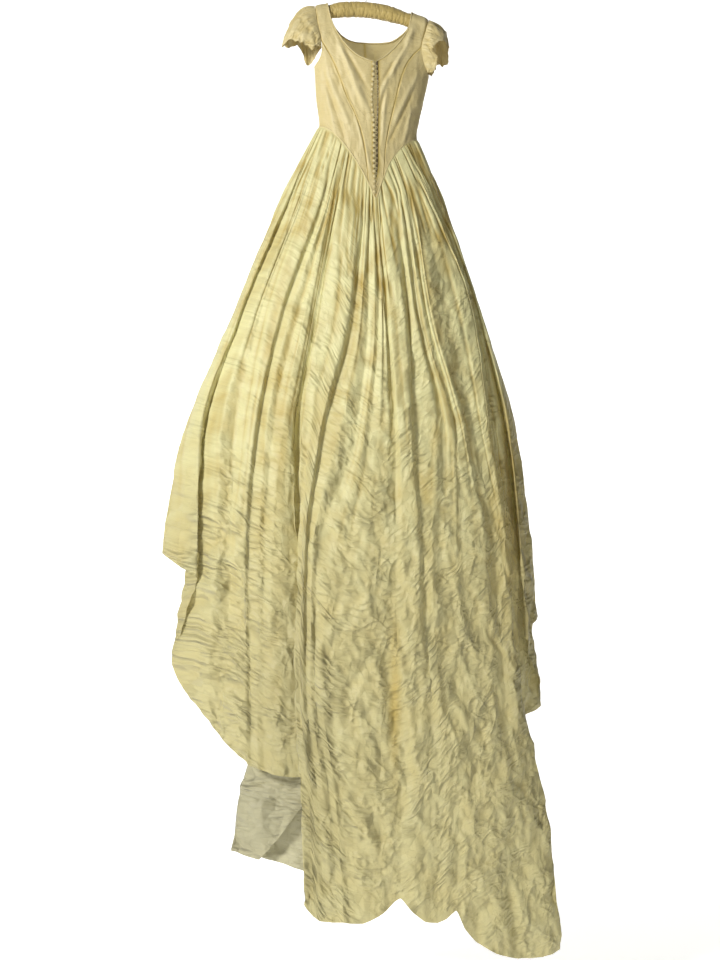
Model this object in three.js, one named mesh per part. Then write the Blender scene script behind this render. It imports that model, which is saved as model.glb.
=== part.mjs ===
import * as THREE from "three";

// Wedding dress on a padded hanger, in millimetres. Its back faces -Y, +X is across, +Z is up.
// The origin is the inside top of the hanger's hook.

// ---- driving sizes -------------------------------------------------------------------------
const clothWall = 1.5;
const seamGap = 0.3;            // between the edges of two pieces that are sewn together
const sleeveGap = 2.2;          // along the body, from the armhole to the sleeve's head
const padRadius = 20;           // under the shoulders and at the round ends
const padMiddleRadius = 23;
const padHalfLength = 190;      // to the centre of each round end
const padHeightAtHook = -94;
const padDrop = 54;             // how far the pad has curved down at padDropAt
const padDropAt = 210;
const padTilt = 0.087;          // the dress hangs a little lower on the right
const padGathers = 23;
const hookRadius = 22;
const hookWire = 1.9;
const shoulderRadius = 26;    // outer face of the cloth that lies over the pad
const pipingRadius = 1.6;
const buttonCount = 26;
const buttonRadius = 4.6;
const buttonHeight = 3.4;
const loopCordRadius = 0.8;
const skirtRows = 14;
const skirtSteps = 2;           // columns of the wall from one fold line to the next
const frontFolds = 21;

// Outline sizes are given on the plane of the hanger, as seen level from eyeDistance away.
const eyeDistance = 6000;
const eyeAcross = -18;
const eyeHeight = -1504;

const silk = { color: 0xe6d6b4, roughness: 0.62 };
const agedSilk = { color: 0xdccba6, roughness: 0.64 };
const steel = { color: 0xb9b9b4, roughness: 0.3, metalness: 0.9 };

// ---- small helpers -------------------------------------------------------------------------
const clamp = (value, low, high) => Math.min(high, Math.max(low, value));
const mix = (a, b, share) => a + (b - a) * share;
const last = (list) => list[list.length - 1];

function ease(from, to, value) {
  const share = clamp((value - from) / (to - from), 0, 1);
  return share * share * (3 - 2 * share);
}

// Smooth value through a table of [position, value] rows, with no overshoot.
function through(rows) {
  const slopes = rows.map((row, i) => {
    if (i === 0 || i === rows.length - 1) {
      return 0;
    }
    const before = (row[1] - rows[i - 1][1]) / (row[0] - rows[i - 1][0]);
    const after = (rows[i + 1][1] - row[1]) / (rows[i + 1][0] - row[0]);
    return before * after <= 0 ? 0 : (2 * before * after) / (before + after);
  });
  const end = rows.length - 1;
  slopes[0] = (rows[1][1] - rows[0][1]) / (rows[1][0] - rows[0][0]);
  slopes[end] = (rows[end][1] - rows[end - 1][1]) / (rows[end][0] - rows[end - 1][0]);
  return (position) => {
    const at = clamp(position, rows[0][0], rows[end][0]);
    let i = 0;
    while (i < end - 1 && at > rows[i + 1][0]) {
      i += 1;
    }
    const span = rows[i + 1][0] - rows[i][0];
    const t = (at - rows[i][0]) / span;
    const t2 = t * t;
    const t3 = t2 * t;
    return (2 * t3 - 3 * t2 + 1) * rows[i][1] + (t3 - 2 * t2 + t) * span * slopes[i]
      + (3 * t2 - 2 * t3) * rows[i + 1][1] + (t3 - t2) * span * slopes[i + 1];
  };
}

// Moves a point from the outline plane to its own depth along the level line of sight.
function toDepth(x, y, z) {
  const beyondPad = Math.sign(y) * Math.max(0, Math.abs(y) - shoulderRadius);
  const scale = 1 + beyondPad / eyeDistance;
  return new THREE.Vector3(
    eyeAcross + (x - eyeAcross) * scale, y, eyeHeight + (z - eyeHeight) * scale,
  );
}

function geometryOf(points, faces) {
  const geometry = new THREE.BufferGeometry();
  geometry.setAttribute(
    "position", new THREE.Float32BufferAttribute(points.flatMap((p) => [p.x, p.y, p.z]), 3),
  );
  geometry.setIndex(faces.flat());
  geometry.computeVertexNormals();
  return geometry;
}

// Closed wall of cloth: the grid is its outer face, rows run down and columns run round.
function clothGeometry(grid, normals, thickness = clothWall) {
  const rows = grid.length;
  const columns = grid[0].length;
  const outer = grid.flat();
  const inner = grid.flatMap((row, r) => row.map(
    (point, c) => point.clone().addScaledVector(normals[r][c], -thickness),
  ));
  const count = rows * columns;
  const at = (r, c) => r * columns + c;
  const faces = [];
  const addQuad = (a, b, c, d) => {
    faces.push([a, b, c], [a, c, d]);
  };
  for (let r = 0; r < rows - 1; r += 1) {
    for (let c = 0; c < columns - 1; c += 1) {
      addQuad(at(r, c), at(r + 1, c), at(r + 1, c + 1), at(r, c + 1));
      addQuad(
        count + at(r, c), count + at(r, c + 1), count + at(r + 1, c + 1), count + at(r + 1, c),
      );
    }
  }
  for (let c = 0; c < columns - 1; c += 1) {
    addQuad(at(0, c), at(0, c + 1), count + at(0, c + 1), count + at(0, c));
    addQuad(
      at(rows - 1, c), count + at(rows - 1, c), count + at(rows - 1, c + 1), at(rows - 1, c + 1),
    );
  }
  for (let r = 0; r < rows - 1; r += 1) {
    addQuad(at(r, 0), count + at(r, 0), count + at(r + 1, 0), at(r + 1, 0));
    addQuad(
      at(r, columns - 1), at(r + 1, columns - 1),
      count + at(r + 1, columns - 1), count + at(r, columns - 1),
    );
  }
  return geometryOf([...outer, ...inner], faces);
}

// Outward normals of a grid, from its own rows and columns.
function gridNormals(grid) {
  const bottom = grid.length - 1;
  const edge = grid[0].length - 1;
  return grid.map((row, r) => row.map((point, c) => {
    const down = grid[Math.min(r + 1, bottom)][c].clone().sub(grid[Math.max(r - 1, 0)][c]);
    const across = row[Math.min(c + 1, edge)].clone().sub(row[Math.max(c - 1, 0)]);
    return down.cross(across).normalize();
  }));
}

// Moves the edges of a grid inwards, each square to itself by its own distance.
function insetGrid(grid, normals, edges) {
  const bottom = grid.length - 1;
  const end = grid[0].length - 1;
  return grid.map((row, r) => row.map((point, c) => {
    const normal = normals[r][c];
    const down = grid[Math.min(r + 1, bottom)][c].clone().sub(grid[Math.max(r - 1, 0)][c]);
    const across = row[Math.min(c + 1, end)].clone().sub(row[Math.max(c - 1, 0)]);
    const pushes = [];
    if (r === 0 && edges.top) {
      pushes.push([across.clone().cross(normal).normalize(), edges.top(c)]);
    }
    if (r === bottom && edges.bottom) {
      pushes.push([normal.clone().cross(across).normalize(), edges.bottom(c)]);
    }
    if (c === 0 && edges.left) {
      pushes.push([normal.clone().cross(down).normalize(), edges.left(r)]);
    }
    if (c === end && edges.right) {
      pushes.push([down.clone().cross(normal).normalize(), edges.right(r)]);
    }
    if (pushes.length < 2) {
      return pushes.reduce((moved, [way, by]) => moved.addScaledVector(way, by), point.clone());
    }
    const [[first, firstBy], [second, secondBy]] = pushes;
    const shared = first.dot(second);
    const scale = 1 - shared ** 2;
    return point.clone()
      .addScaledVector(first, (firstBy - shared * secondBy) / scale)
      .addScaledVector(second, (secondBy - shared * firstBy) / scale);
  }));
}

// Round cord along a path: rings of points, closed by caps or into a loop.
function cordGeometry(path, radiusAt, sides, isLoop, upAt) {
  const count = path.length;
  const points = [];
  for (let i = 0; i < count; i += 1) {
    const before = isLoop ? path[(i - 1 + count) % count] : path[Math.max(i - 1, 0)];
    const after = isLoop ? path[(i + 1) % count] : path[Math.min(i + 1, count - 1)];
    const along = after.clone().sub(before).normalize();
    const first = upAt(i).clone().addScaledVector(along, -upAt(i).dot(along)).normalize();
    const second = along.clone().cross(first);
    for (let s = 0; s < sides; s += 1) {
      const angle = (2 * Math.PI * s) / sides;
      points.push(path[i].clone()
        .addScaledVector(first, radiusAt(i, angle) * Math.cos(angle))
        .addScaledVector(second, radiusAt(i, angle) * Math.sin(angle)));
    }
  }
  const faces = [];
  const rings = isLoop ? count : count - 1;
  for (let i = 0; i < rings; i += 1) {
    const here = i * sides;
    const next = ((i + 1) % count) * sides;
    for (let s = 0; s < sides; s += 1) {
      const turn = (s + 1) % sides;
      faces.push([here + s, here + turn, next + turn], [here + s, next + turn, next + s]);
    }
  }
  if (!isLoop) {
    const start = points.length;
    points.push(path[0].clone(), path[count - 1].clone());
    const end = (count - 1) * sides;
    for (let s = 0; s < sides; s += 1) {
      const turn = (s + 1) % sides;
      faces.push([start, turn, s], [start + 1, end + s, end + turn]);
    }
  }
  return geometryOf(points, faces);
}

const group = new THREE.Group();
group.name = "wedding_dress";

function addPiece(name, geometry, finish) {
  const mesh = new THREE.Mesh(geometry, new THREE.MeshStandardMaterial(finish));
  mesh.name = name;
  group.add(mesh);
}

// ---- the body the bodice takes its shape from ----------------------------------------------
const padHeight = (x) => padHeightAtHook - padDrop * (x / padDropAt) ** 2 - padTilt * x;
const padSlope = (x) => (-2 * padDrop * x) / padDropAt ** 2 - padTilt;
const padRise = (x) => Math.sqrt(1 + padSlope(x) ** 2);

// Sections of the bodice, by how far each is below the top of the shoulder.
const bodiceColumns = ["below", "centre", "halfWidth", "backDepth", "frontDepth"];
const bodiceSections = [
  [0, 16, 700, 26, 26],
  [26, 16, 640, 26, 26],
  [60, 16, 400, 33, 34],
  [100, 17, 290, 45, 48],
  [145, 17, 222, 54, 63],
  [182, 17, 184, 59, 71],
  [205, 17, 173, 61, 75],
  [225, 17, 172, 62, 76],
  [295, 12, 163, 61, 72],
  [367, 9, 151, 58, 64],
  [400, 6, 148, 57, 60],
  [450, 6, 153, 60, 62],
  [520, 6, 166, 68, 70],
  [600, 6, 184, 79, 82],
  [700, 6, 205, 88, 92],
];
const bodiceBy = (column) => {
  const index = bodiceColumns.indexOf(column);
  return through(bodiceSections.map((row) => [row[0], row[index]]));
};
const bodyCentre = bodiceBy("centre");
const bodyHalfWidth = bodiceBy("halfWidth");
const backDepth = bodiceBy("backDepth");
const frontDepth = bodiceBy("frontDepth");
const padQuarter = (shoulderRadius * Math.PI) / 2;

// Height on the outline for a distance down the cloth from the shoulder seam.
function heightDown(x, down) {
  const run = Math.abs(down);
  const above = run < padQuarter
    ? shoulderRadius * Math.cos(run / shoulderRadius) * padRise(x)
    : padQuarter - run;
  const fade = above > 0 ? 1 : 1 - ease(0, 170, -above);
  return padHeightAtHook + (padHeight(x) - padHeightAtHook) * fade + above;
}

// Point of the body: turn is the angle from the middle, down the run from the shoulder seam.
function bodyPoint(isFront, turn, down) {
  const run = Math.abs(down);
  const below = run < padQuarter
    ? shoulderRadius * (1 - Math.cos(run / shoulderRadius))
    : shoulderRadius + run - padQuarter;
  const depthTable = isFront ? frontDepth : backDepth;
  const depth = run < padQuarter
    ? shoulderRadius * Math.sin(run / shoulderRadius)
    : depthTable(below);
  const x = bodyCentre(below) + bodyHalfWidth(below) * Math.sin(turn);
  const y = (isFront ? 1 : -1) * Math.sign(down || 1) * depth * Math.cos(turn);
  return toDepth(x, y, heightDown(x, down));
}

// Where a point of the outline lies on the body, as [turn, down].
function onBody(x, z) {
  let low = 0;
  let high = 760;
  for (let step = 0; step < 40; step += 1) {
    const middle = (low + high) / 2;
    if (heightDown(x, middle) > z) {
      low = middle;
    } else {
      high = middle;
    }
  }
  const below = low < padQuarter
    ? shoulderRadius * (1 - Math.cos(low / shoulderRadius))
    : shoulderRadius + low - padQuarter;
  const sine = clamp((x - bodyCentre(below)) / bodyHalfWidth(below), -1, 1);
  return [Math.asin(sine), low];
}

// Folds that the hanging weight draws in the bodice: a line, its half width and its height.
const dragColumns = ["fromX", "fromZ", "toX", "toZ", "halfWidth", "height"];
const dragFolds = [
  [-72, -235, -4, -385, 8, 3.0],
  [-96, -270, -20, -420, 8, -2.2],
  [140, -165, 72, -300, 11, 3.0],
  [118, -205, 44, -320, 8, -2.4],
  [96, -235, 36, -372, 9, 2.4],
  [-112, -330, -40, -470, 10, 1.6],
].map((row) => Object.fromEntries(dragColumns.map((name, i) => [name, row[i]])));

function dragHeight(x, z) {
  return dragFolds.reduce((sum, fold) => {
    const runX = fold.toX - fold.fromX;
    const runZ = fold.toZ - fold.fromZ;
    const share = ((x - fold.fromX) * runX + (z - fold.fromZ) * runZ) / (runX ** 2 + runZ ** 2);
    const offX = x - mix(fold.fromX, fold.toX, share);
    const offZ = z - mix(fold.fromZ, fold.toZ, share);
    const fade = ease(-0.15, 0.2, share) * (1 - ease(0.8, 1.15, share));
    return sum + fold.height * fade * Math.exp(-(offX ** 2 + offZ ** 2) / fold.halfWidth ** 2);
  }, 0);
}

// ---- seams and edges of the bodice, each a line on the outline ------------------------------
const shoulderTop = (x) => [x, padHeight(x) + shoulderRadius * padRise(x)];
const shoulderPoints = {
  armLeft: shoulderTop(-153),
  neckLeft: shoulderTop(-117),
  neckRight: shoulderTop(138),
  armRight: shoulderTop(187),
};
const waistBack = [
  [-141, -445], [-114, -454], [-84, -478], [-54, -514], [-27, -553], [-6, -589], [14, -630],
  [29, -660], [44, -622], [57, -589], [69, -559], [84, -535], [105, -511], [129, -493],
  [153, -484],
];
const waistFront = [
  [-141, -445], [-112, -462], [-78, -490], [-40, -527], [6, -566], [54, -538], [94, -507],
  [126, -489], [153, -484],
];
const waistBackHeight = through(waistBack);
const waistFrontHeight = through(waistFront);
const lines = {
  shoulderLeft: [shoulderPoints.armLeft, shoulderPoints.neckLeft],
  shoulderRight: [shoulderPoints.neckRight, shoulderPoints.armRight],
  armLeftUpper: [shoulderPoints.armLeft, [-146, -130], [-133, -190]],
  armLeftLower: [[-133, -190], [-133, -226], [-142, -250], [-156, -268]],
  armRightUpper: [shoulderPoints.armRight, [179, -156], [165, -211]],
  armRightLower: [[165, -211], [169, -244], [178, -274], [189, -294]],
  neckBackLeft: [shoulderPoints.neckLeft, [-102, -133], [-84, -169], [-60, -202], [-27, -232],
    [6, -248], [27, -253]],
  neckBackRight: [shoulderPoints.neckRight, [127, -154], [105, -190], [78, -220], [54, -240],
    [29, -253]],
  neckFrontLeft: [shoulderPoints.neckLeft, [-97, -135], [-69, -169], [-39, -184], [-5, -188]],
  neckFrontRight: [shoulderPoints.neckRight, [127, -142], [105, -166], [75, -184], [30, -189],
    [-5, -188]],
  frontMiddle: [[-5, -188], [2, -300], [5, -430], [6, waistFrontHeight(6)]],
  closingLeft: [[27, -253], [26, -296], [22, -336], [21, -372], [25, -412], [28, -454],
    [28, -544], [29, -619], [29, -660]],
  closingRight: [[29, -253], [33, -304], [34, -372], [31, -440], [30, -544], [30, -619],
    [29, -660]],
  princessLeft: [[-133, -190], [-102, -244], [-81, -292], [-57, -358], [-33, -409],
    [-15, -460], [-5, -505], [2, -560], [8, waistBackHeight(8)]],
  princessRight: [[165, -211], [141, -235], [120, -265], [105, -304], [93, -349], [81, -400],
    [70, -445], [61, -493], [56, -545], [53, waistBackHeight(53)]],
  frontSeamLeft: [[-133, -190], [-112, -250], [-96, -310], [-84, -380], [-72, -440],
    [-62, waistFrontHeight(-62)]],
  frontSeamRight: [[165, -211], [146, -262], [128, -320], [112, -390], [98, -450],
    [88, waistFrontHeight(88)]],
  sideLeft: [[-156, -268], [-150, -340], [-142, -420], [-141, -445]],
  sideRight: [[189, -294], [176, -360], [160, -432], [153, -484]],
};

// A stretch of the waist seam between two places along X.
const stretch = (height, fromX, toX) => Array.from({ length: 9 }, (unused, i) => {
  const x = mix(fromX, toX, i / 8);
  return [x, height(x)];
});

// Points along a line of the outline, even or crowded where the cloth bends over the pad.
const crowdStart = (share) => share ** 1.6;
function spaced(pairs, steps, spread = (share) => share) {
  const curve = new THREE.CatmullRomCurve3(
    pairs.map(([x, z]) => new THREE.Vector3(x, 0, z)), false, "centripetal",
  );
  return Array.from({ length: steps + 1 }, (unused, i) => {
    const point = curve.getPointAt(spread(i / steps));
    return [point.x, point.z];
  });
}

// An edge is made of parts: a line, its steps, how far the cloth stops short, and its spacing.
function edgePoints(parts) {
  return parts.flatMap(([line, steps, , spread], i) => spaced(line, steps, spread)
    .slice(i === 0 ? 0 : 1)
    .map(([x, z]) => onBody(x, z)));
}

function edgeInsets(parts) {
  const insets = [parts[0][2]];
  parts.forEach(([, steps, inset]) => {
    insets[insets.length - 1] = Math.max(last(insets), inset);
    insets.push(...Array(steps).fill(inset));
  });
  return (index) => insets[index];
}

const normalOnBody = (isFront, turn, down) => {
  const below = bodyPoint(isFront, turn, down + 0.5).sub(bodyPoint(isFront, turn, down - 0.5));
  const across = bodyPoint(isFront, turn + 0.004, down)
    .sub(bodyPoint(isFront, turn - 0.004, down));
  const normal = below.cross(across).normalize();
  return isFront ? normal.negate() : normal;
};

// Piece of the bodice between four edges, given on the outline.
function bodicePiece(name, isFront, edges, finish = silk) {
  const top = edgePoints(edges.top);
  const bottom = edgePoints(edges.bottom);
  const left = edgePoints(edges.left);
  const right = edgePoints(edges.right);
  const rows = left.length - 1;
  const columns = top.length - 1;
  if (edges.sideLeft) {
    [...left, top[0], bottom[0]].forEach((pair) => { pair[0] = -Math.PI / 2; });
  }
  if (edges.sideRight) {
    [...right, last(top), last(bottom)].forEach((pair) => { pair[0] = Math.PI / 2; });
  }
  const between = (r, c) => [0, 1].map((k) => {
    const u = c / columns;
    const v = r / rows;
    return mix(top[c][k], bottom[c][k], v) + mix(left[r][k], right[r][k], u)
      - mix(mix(top[0][k], top[columns][k], u), mix(bottom[0][k], bottom[columns][k], u), v);
  });
  const pairs = left.map((unused, r) => {
    const row = top.map((none, c) => between(r, c));
    return isFront ? row.reverse() : row;
  });
  const normals = pairs.map((row) => row.map(([turn, down]) => normalOnBody(isFront, turn, down)));
  const grid = pairs.map((row, r) => row.map(([turn, down], c) => {
    const point = bodyPoint(isFront, turn, down);
    const isInside = Math.min(r, rows - r, c, columns - c) > 0 && !isFront;
    return point.addScaledVector(normals[r][c], isInside ? dragHeight(point.x, point.z) : 0);
  }));
  const mirrored = (parts) => {
    const inset = edgeInsets(parts);
    return (index) => inset(isFront ? columns - index : index);
  };
  addPiece(name, clothGeometry(insetGrid(grid, normals, {
    top: mirrored(edges.top),
    bottom: mirrored(edges.bottom),
    left: edgeInsets(isFront ? edges.right : edges.left),
    right: edgeInsets(isFront ? edges.left : edges.right),
  }), normals), finish);
}

const halfGap = seamGap / 2;
const pipedInset = pipingRadius + seamGap;
const backWaist = {
  sideLeft: [stretch(waistBackHeight, -141, 8), 12, pipedInset],
  left: [stretch(waistBackHeight, 8, 29), 4, pipedInset],
  right: [stretch(waistBackHeight, 29, 53), 4, pipedInset],
  sideRight: [stretch(waistBackHeight, 53, 153), 10, pipedInset],
};
const frontWaist = {
  sideLeft: [stretch(waistFrontHeight, -141, -62), 6, pipedInset],
  left: [stretch(waistFrontHeight, -62, 6), 4, pipedInset],
  right: [stretch(waistFrontHeight, 6, 88), 4, pipedInset],
  sideRight: [stretch(waistFrontHeight, 88, 153), 5, pipedInset],
};
const neckInset = pipedInset + 2 * seamGap;
const neckEdges = {
  backLeft: [lines.neckBackLeft, 10, neckInset, crowdStart],
  backRight: [lines.neckBackRight, 10, neckInset, crowdStart],
  frontLeft: [lines.neckFrontLeft, 9, neckInset, crowdStart],
  frontRight: [lines.neckFrontRight, 9, neckInset, crowdStart],
};

bodicePiece("bodice_back_left", false, {
  top: [[lines.shoulderLeft, 4, halfGap]],
  bottom: [backWaist.left],
  left: [[lines.armLeftUpper, 7, halfGap], [lines.princessLeft, 12, halfGap]],
  right: [neckEdges.backLeft, [lines.closingLeft, 9, halfGap]],
});
bodicePiece("bodice_back_right", false, {
  top: [[lines.shoulderRight, 4, halfGap]],
  bottom: [backWaist.right],
  left: [neckEdges.backRight, [lines.closingRight, 9, halfGap]],
  right: [[lines.armRightUpper, 7, halfGap], [lines.princessRight, 12, halfGap]],
});
bodicePiece("bodice_side_left", false, {
  top: [[[...lines.armLeftLower].reverse(), 12, halfGap]],
  bottom: [backWaist.sideLeft],
  left: [[lines.sideLeft, 12, halfGap]],
  right: [[lines.princessLeft, 12, halfGap]],
  sideLeft: true,
});
bodicePiece("bodice_side_right", false, {
  top: [[lines.armRightLower, 10, halfGap]],
  bottom: [backWaist.sideRight],
  left: [[lines.princessRight, 12, halfGap]],
  right: [[lines.sideRight, 12, halfGap]],
  sideRight: true,
});
bodicePiece("bodice_front_left", true, {
  top: [[lines.shoulderLeft, 4, halfGap]],
  bottom: [frontWaist.left],
  left: [[lines.armLeftUpper, 7, halfGap], [lines.frontSeamLeft, 12, halfGap]],
  right: [neckEdges.frontLeft, [lines.frontMiddle, 10, halfGap]],
});
bodicePiece("bodice_front_right", true, {
  top: [[lines.shoulderRight, 4, halfGap]],
  bottom: [frontWaist.right],
  left: [neckEdges.frontRight, [lines.frontMiddle, 10, halfGap]],
  right: [[lines.armRightUpper, 7, halfGap], [lines.frontSeamRight, 12, halfGap]],
});
bodicePiece("bodice_side_front_left", true, {
  top: [[[...lines.armLeftLower].reverse(), 6, halfGap]],
  bottom: [frontWaist.sideLeft],
  left: [[lines.sideLeft, 12, halfGap]],
  right: [[lines.frontSeamLeft, 12, halfGap]],
  sideLeft: true,
});
bodicePiece("bodice_side_front_right", true, {
  top: [[lines.armRightLower, 5, halfGap]],
  bottom: [frontWaist.sideRight],
  left: [[lines.frontSeamRight, 12, halfGap]],
  right: [[lines.sideRight, 12, halfGap]],
  sideRight: true,
});

// ---- bound neck edge and piped waist seam: cords that run along a line of the body ------------
function bodyCord(runs) {
  const path = [];
  const ups = [];
  runs.forEach(({ isFront, pairs }) => pairs.forEach(([x, z]) => {
    const [turn, down] = onBody(x, z);
    const normal = normalOnBody(isFront, turn, down);
    path.push(bodyPoint(isFront, turn, down).addScaledVector(normal, -clothWall / 2));
    ups.push(normal);
  }));
  return { path, ups };
}

const alongEdge = ([line, steps, , spread]) => spaced(line, steps, spread);
const neckPath = bodyCord([
  { isFront: false, pairs: alongEdge(neckEdges.backRight).reverse().slice(0, -1) },
  { isFront: true, pairs: alongEdge(neckEdges.frontRight) },
  { isFront: true, pairs: alongEdge(neckEdges.frontLeft).reverse().slice(1) },
  { isFront: false, pairs: alongEdge(neckEdges.backLeft).slice(1) },
]);
neckPath.path[0].lerp(neckPath.path[1], 0.12);
last(neckPath.path).lerp(neckPath.path[neckPath.path.length - 2], 0.12);
addPiece("neck_binding", cordGeometry(
  neckPath.path, () => pipingRadius, 6, false, (i) => neckPath.ups[i],
), silk);

const joined = (edges) => edges.flatMap((edge) => alongEdge(edge).slice(0, -1));
const frontRight = alongEdge(frontWaist.sideRight).reverse().slice(0, -1);
const frontMiddle = [frontWaist.right, frontWaist.left]
  .flatMap((edge) => alongEdge(edge).reverse().slice(0, -1));
const frontLeft = alongEdge(frontWaist.sideLeft).reverse().slice(0, -1);
const waistPath = bodyCord([
  {
    isFront: false,
    pairs: joined([backWaist.sideLeft, backWaist.left, backWaist.right, backWaist.sideRight]),
  },
  { isFront: true, pairs: [...frontRight, ...frontMiddle, ...frontLeft] },
]);
addPiece("waist_piping", cordGeometry(
  waistPath.path, () => pipingRadius, 6, true, (i) => waistPath.ups[i],
), silk);

// ---- closing down the centre of the back: covered buttons and the cord of their loops ---------
const buttonProfile = [[0, 0], [3.3, 0], [4.6, 1.2], [3.2, 2.8], [0, 3.4]]
  .map(([radius, height]) => new THREE.Vector2(
    (radius / 4.6) * buttonRadius, (height / 3.4) * buttonHeight,
  ));

function outsideBody(x, z, lift) {
  const [turn, down] = onBody(x, z);
  const normal = normalOnBody(false, turn, down);
  const point = bodyPoint(false, turn, down);
  const drag = Math.max(0, dragHeight(point.x, point.z));
  return { point: point.addScaledVector(normal, lift + drag), normal };
}

const aboveWaist = (share) => share * 0.975;
spaced(lines.closingLeft, buttonCount * 2, aboveWaist).filter((unused, i) => i % 2 === 1)
  .forEach(([x, z], i) => {
    const seat = outsideBody(x - buttonRadius * 0.75, z, seamGap + 0.2);
    const button = new THREE.LatheGeometry(buttonProfile, 8);
    button.applyQuaternion(new THREE.Quaternion().setFromUnitVectors(
      new THREE.Vector3(0, 1, 0), seat.normal,
    ));
    button.translate(seat.point.x, seat.point.y, seat.point.z);
    addPiece(`button_${String(i + 1).padStart(2, "0")}`, button, silk);
  });

const loopSeats = spaced(lines.closingRight, buttonCount * 2, aboveWaist)
  .map(([x, z], i) => outsideBody(x + (i % 2 === 1 ? 1.6 : 3.6), z, loopCordRadius + 0.6));
addPiece("button_loop_cord", cordGeometry(
  loopSeats.map((seat) => seat.point), () => loopCordRadius, 4, false,
  (i) => loopSeats[i].normal,
), silk);

// ---- cap sleeves: ribs of cloth from the armhole over the end of the pad to a scalloped hem ---
const ribColumns = ["side", "armZ", "bulgeX", "bulgeY", "bulgeZ", "hemX", "hemY", "hemZ"];
const leftRibs = [
  ["back", -206, -139, -46, -207, -143, -45, -209],
  ["back", -190, -145, -50, -197, -152, -49, -206],
  ["back", -170, -152, -54, -190, -163, -53, -221],
  ["back", -152, -169, -51, -168, -184, -48, -201],
  ["back", -132, -188, -46, -142, -204, -44, -194],
  ["back", -112, -204, -41, -112, -228, -34, -188],
  ["back", -96, -218, -26, -90, -251, -16, -210],
  ["top", -82, -222, 0, -76, -247, 6, -196],
  ["front", -96, -212, 28, -92, -236, 26, -204],
  ["front", -132, -186, 46, -142, -204, 42, -198],
  ["front", -166, -162, 56, -196, -176, 54, -254],
  ["front", -202, -142, 52, -212, -146, 49, -220],
];
const rightRibs = [
  ["back", -284, 193, -20, -286, 196, -20, -288],
  ["back", -268, 198, -38, -270, 207, -36, -270],
  ["back", -248, 201, -46, -250, 215, -44, -247],
  ["back", -228, 194, -54, -230, 205, -54, -231],
  ["back", -210, 189, -58, -211, 198, -56, -214],
  ["back", -190, 196, -57, -190, 207, -52, -202],
  ["back", -166, 208, -51, -166, 228, -44, -193],
  ["back", -142, 224, -39, -142, 248, -22, -204],
  ["top", -122, 241, 0, -134, 250, 4, -220],
  ["front", -142, 224, 38, -150, 247, 24, -246],
  ["front", -168, 208, 50, -196, 232, 40, -258],
  ["front", -208, 192, 54, -236, 216, 46, -252],
  ["front", -246, 196, 46, -256, 208, 38, -268],
  ["front", -280, 194, 24, -284, 198, 24, -288],
];

function sleevePiece(name, ribRows, isLeft) {
  const side = isLeft ? -1 : 1;
  const armhole = isLeft
    ? [...lines.armLeftUpper, ...lines.armLeftLower.slice(1)]
    : [...lines.armRightUpper, ...lines.armRightLower.slice(1)];
  const armAcross = through([...armhole].reverse().map(([x, z]) => [z, x]));
  const ribs = ribRows.map((row) => {
    const rib = Object.fromEntries(ribColumns.map((key, i) => [key, row[i]]));
    const isFront = rib.side === "front";
    const [seamTurn, seamDown] = onBody(armAcross(rib.armZ), rib.armZ);
    const down = rib.side === "top" ? 0 : seamDown;
    const turn = seamTurn + side * (sleeveGap / bodyHalfWidth(shoulderRadius + down - padQuarter));
    return {
      arm: bodyPoint(isFront, turn, down),
      normal: normalOnBody(isFront, turn, down),
      bulge: toDepth(rib.bulgeX, rib.bulgeY, rib.bulgeZ),
      hem: toDepth(rib.hemX, rib.hemY, rib.hemZ),
    };
  });
  const [arms, bulges, hems, armNormals] = ["arm", "bulge", "hem", "normal"].map(
    (part) => new THREE.CatmullRomCurve3(ribs.map((rib) => rib[part]), false, "catmullrom", 0.5),
  );
  const columns = (ribs.length - 1) * 2;
  const rows = 6;
  const ordered = (row) => (isLeft ? row.reverse() : row);
  const grid = Array.from({ length: rows + 1 }, (unused, r) => ordered(Array.from(
    { length: columns + 1 }, (none, c) => {
      const v = r / rows;
      const u = c / columns;
      return arms.getPoint(u).multiplyScalar((1 - v) ** 2)
        .addScaledVector(bulges.getPoint(u), 2 * v * (1 - v))
        .addScaledVector(hems.getPoint(u), v * v);
    },
  )));
  const normals = gridNormals(grid);
  normals[0] = ordered(Array.from(
    { length: columns + 1 }, (unused, c) => armNormals.getPoint(c / columns).normalize(),
  ));
  addPiece(name, clothGeometry(grid, normals), silk);
}

sleevePiece("sleeve_left", leftRibs, true);
sleevePiece("sleeve_right", rightRibs, false);

// ---- gathered skirt and train: fold lines from the waist seam to the hem ----------------------
const levels = [-660, -1020, -1380, -1740, -2100, -2460, -2820];
const foldColumns = [
  "name", "top", "at660", "at1020", "at1380", "at1740", "at2100", "at2460", "at2820",
  "reliefHigh", "reliefMiddle", "reliefLow", "hem",
];
const reliefHeights = [-1000, -1600, -2500];
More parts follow.
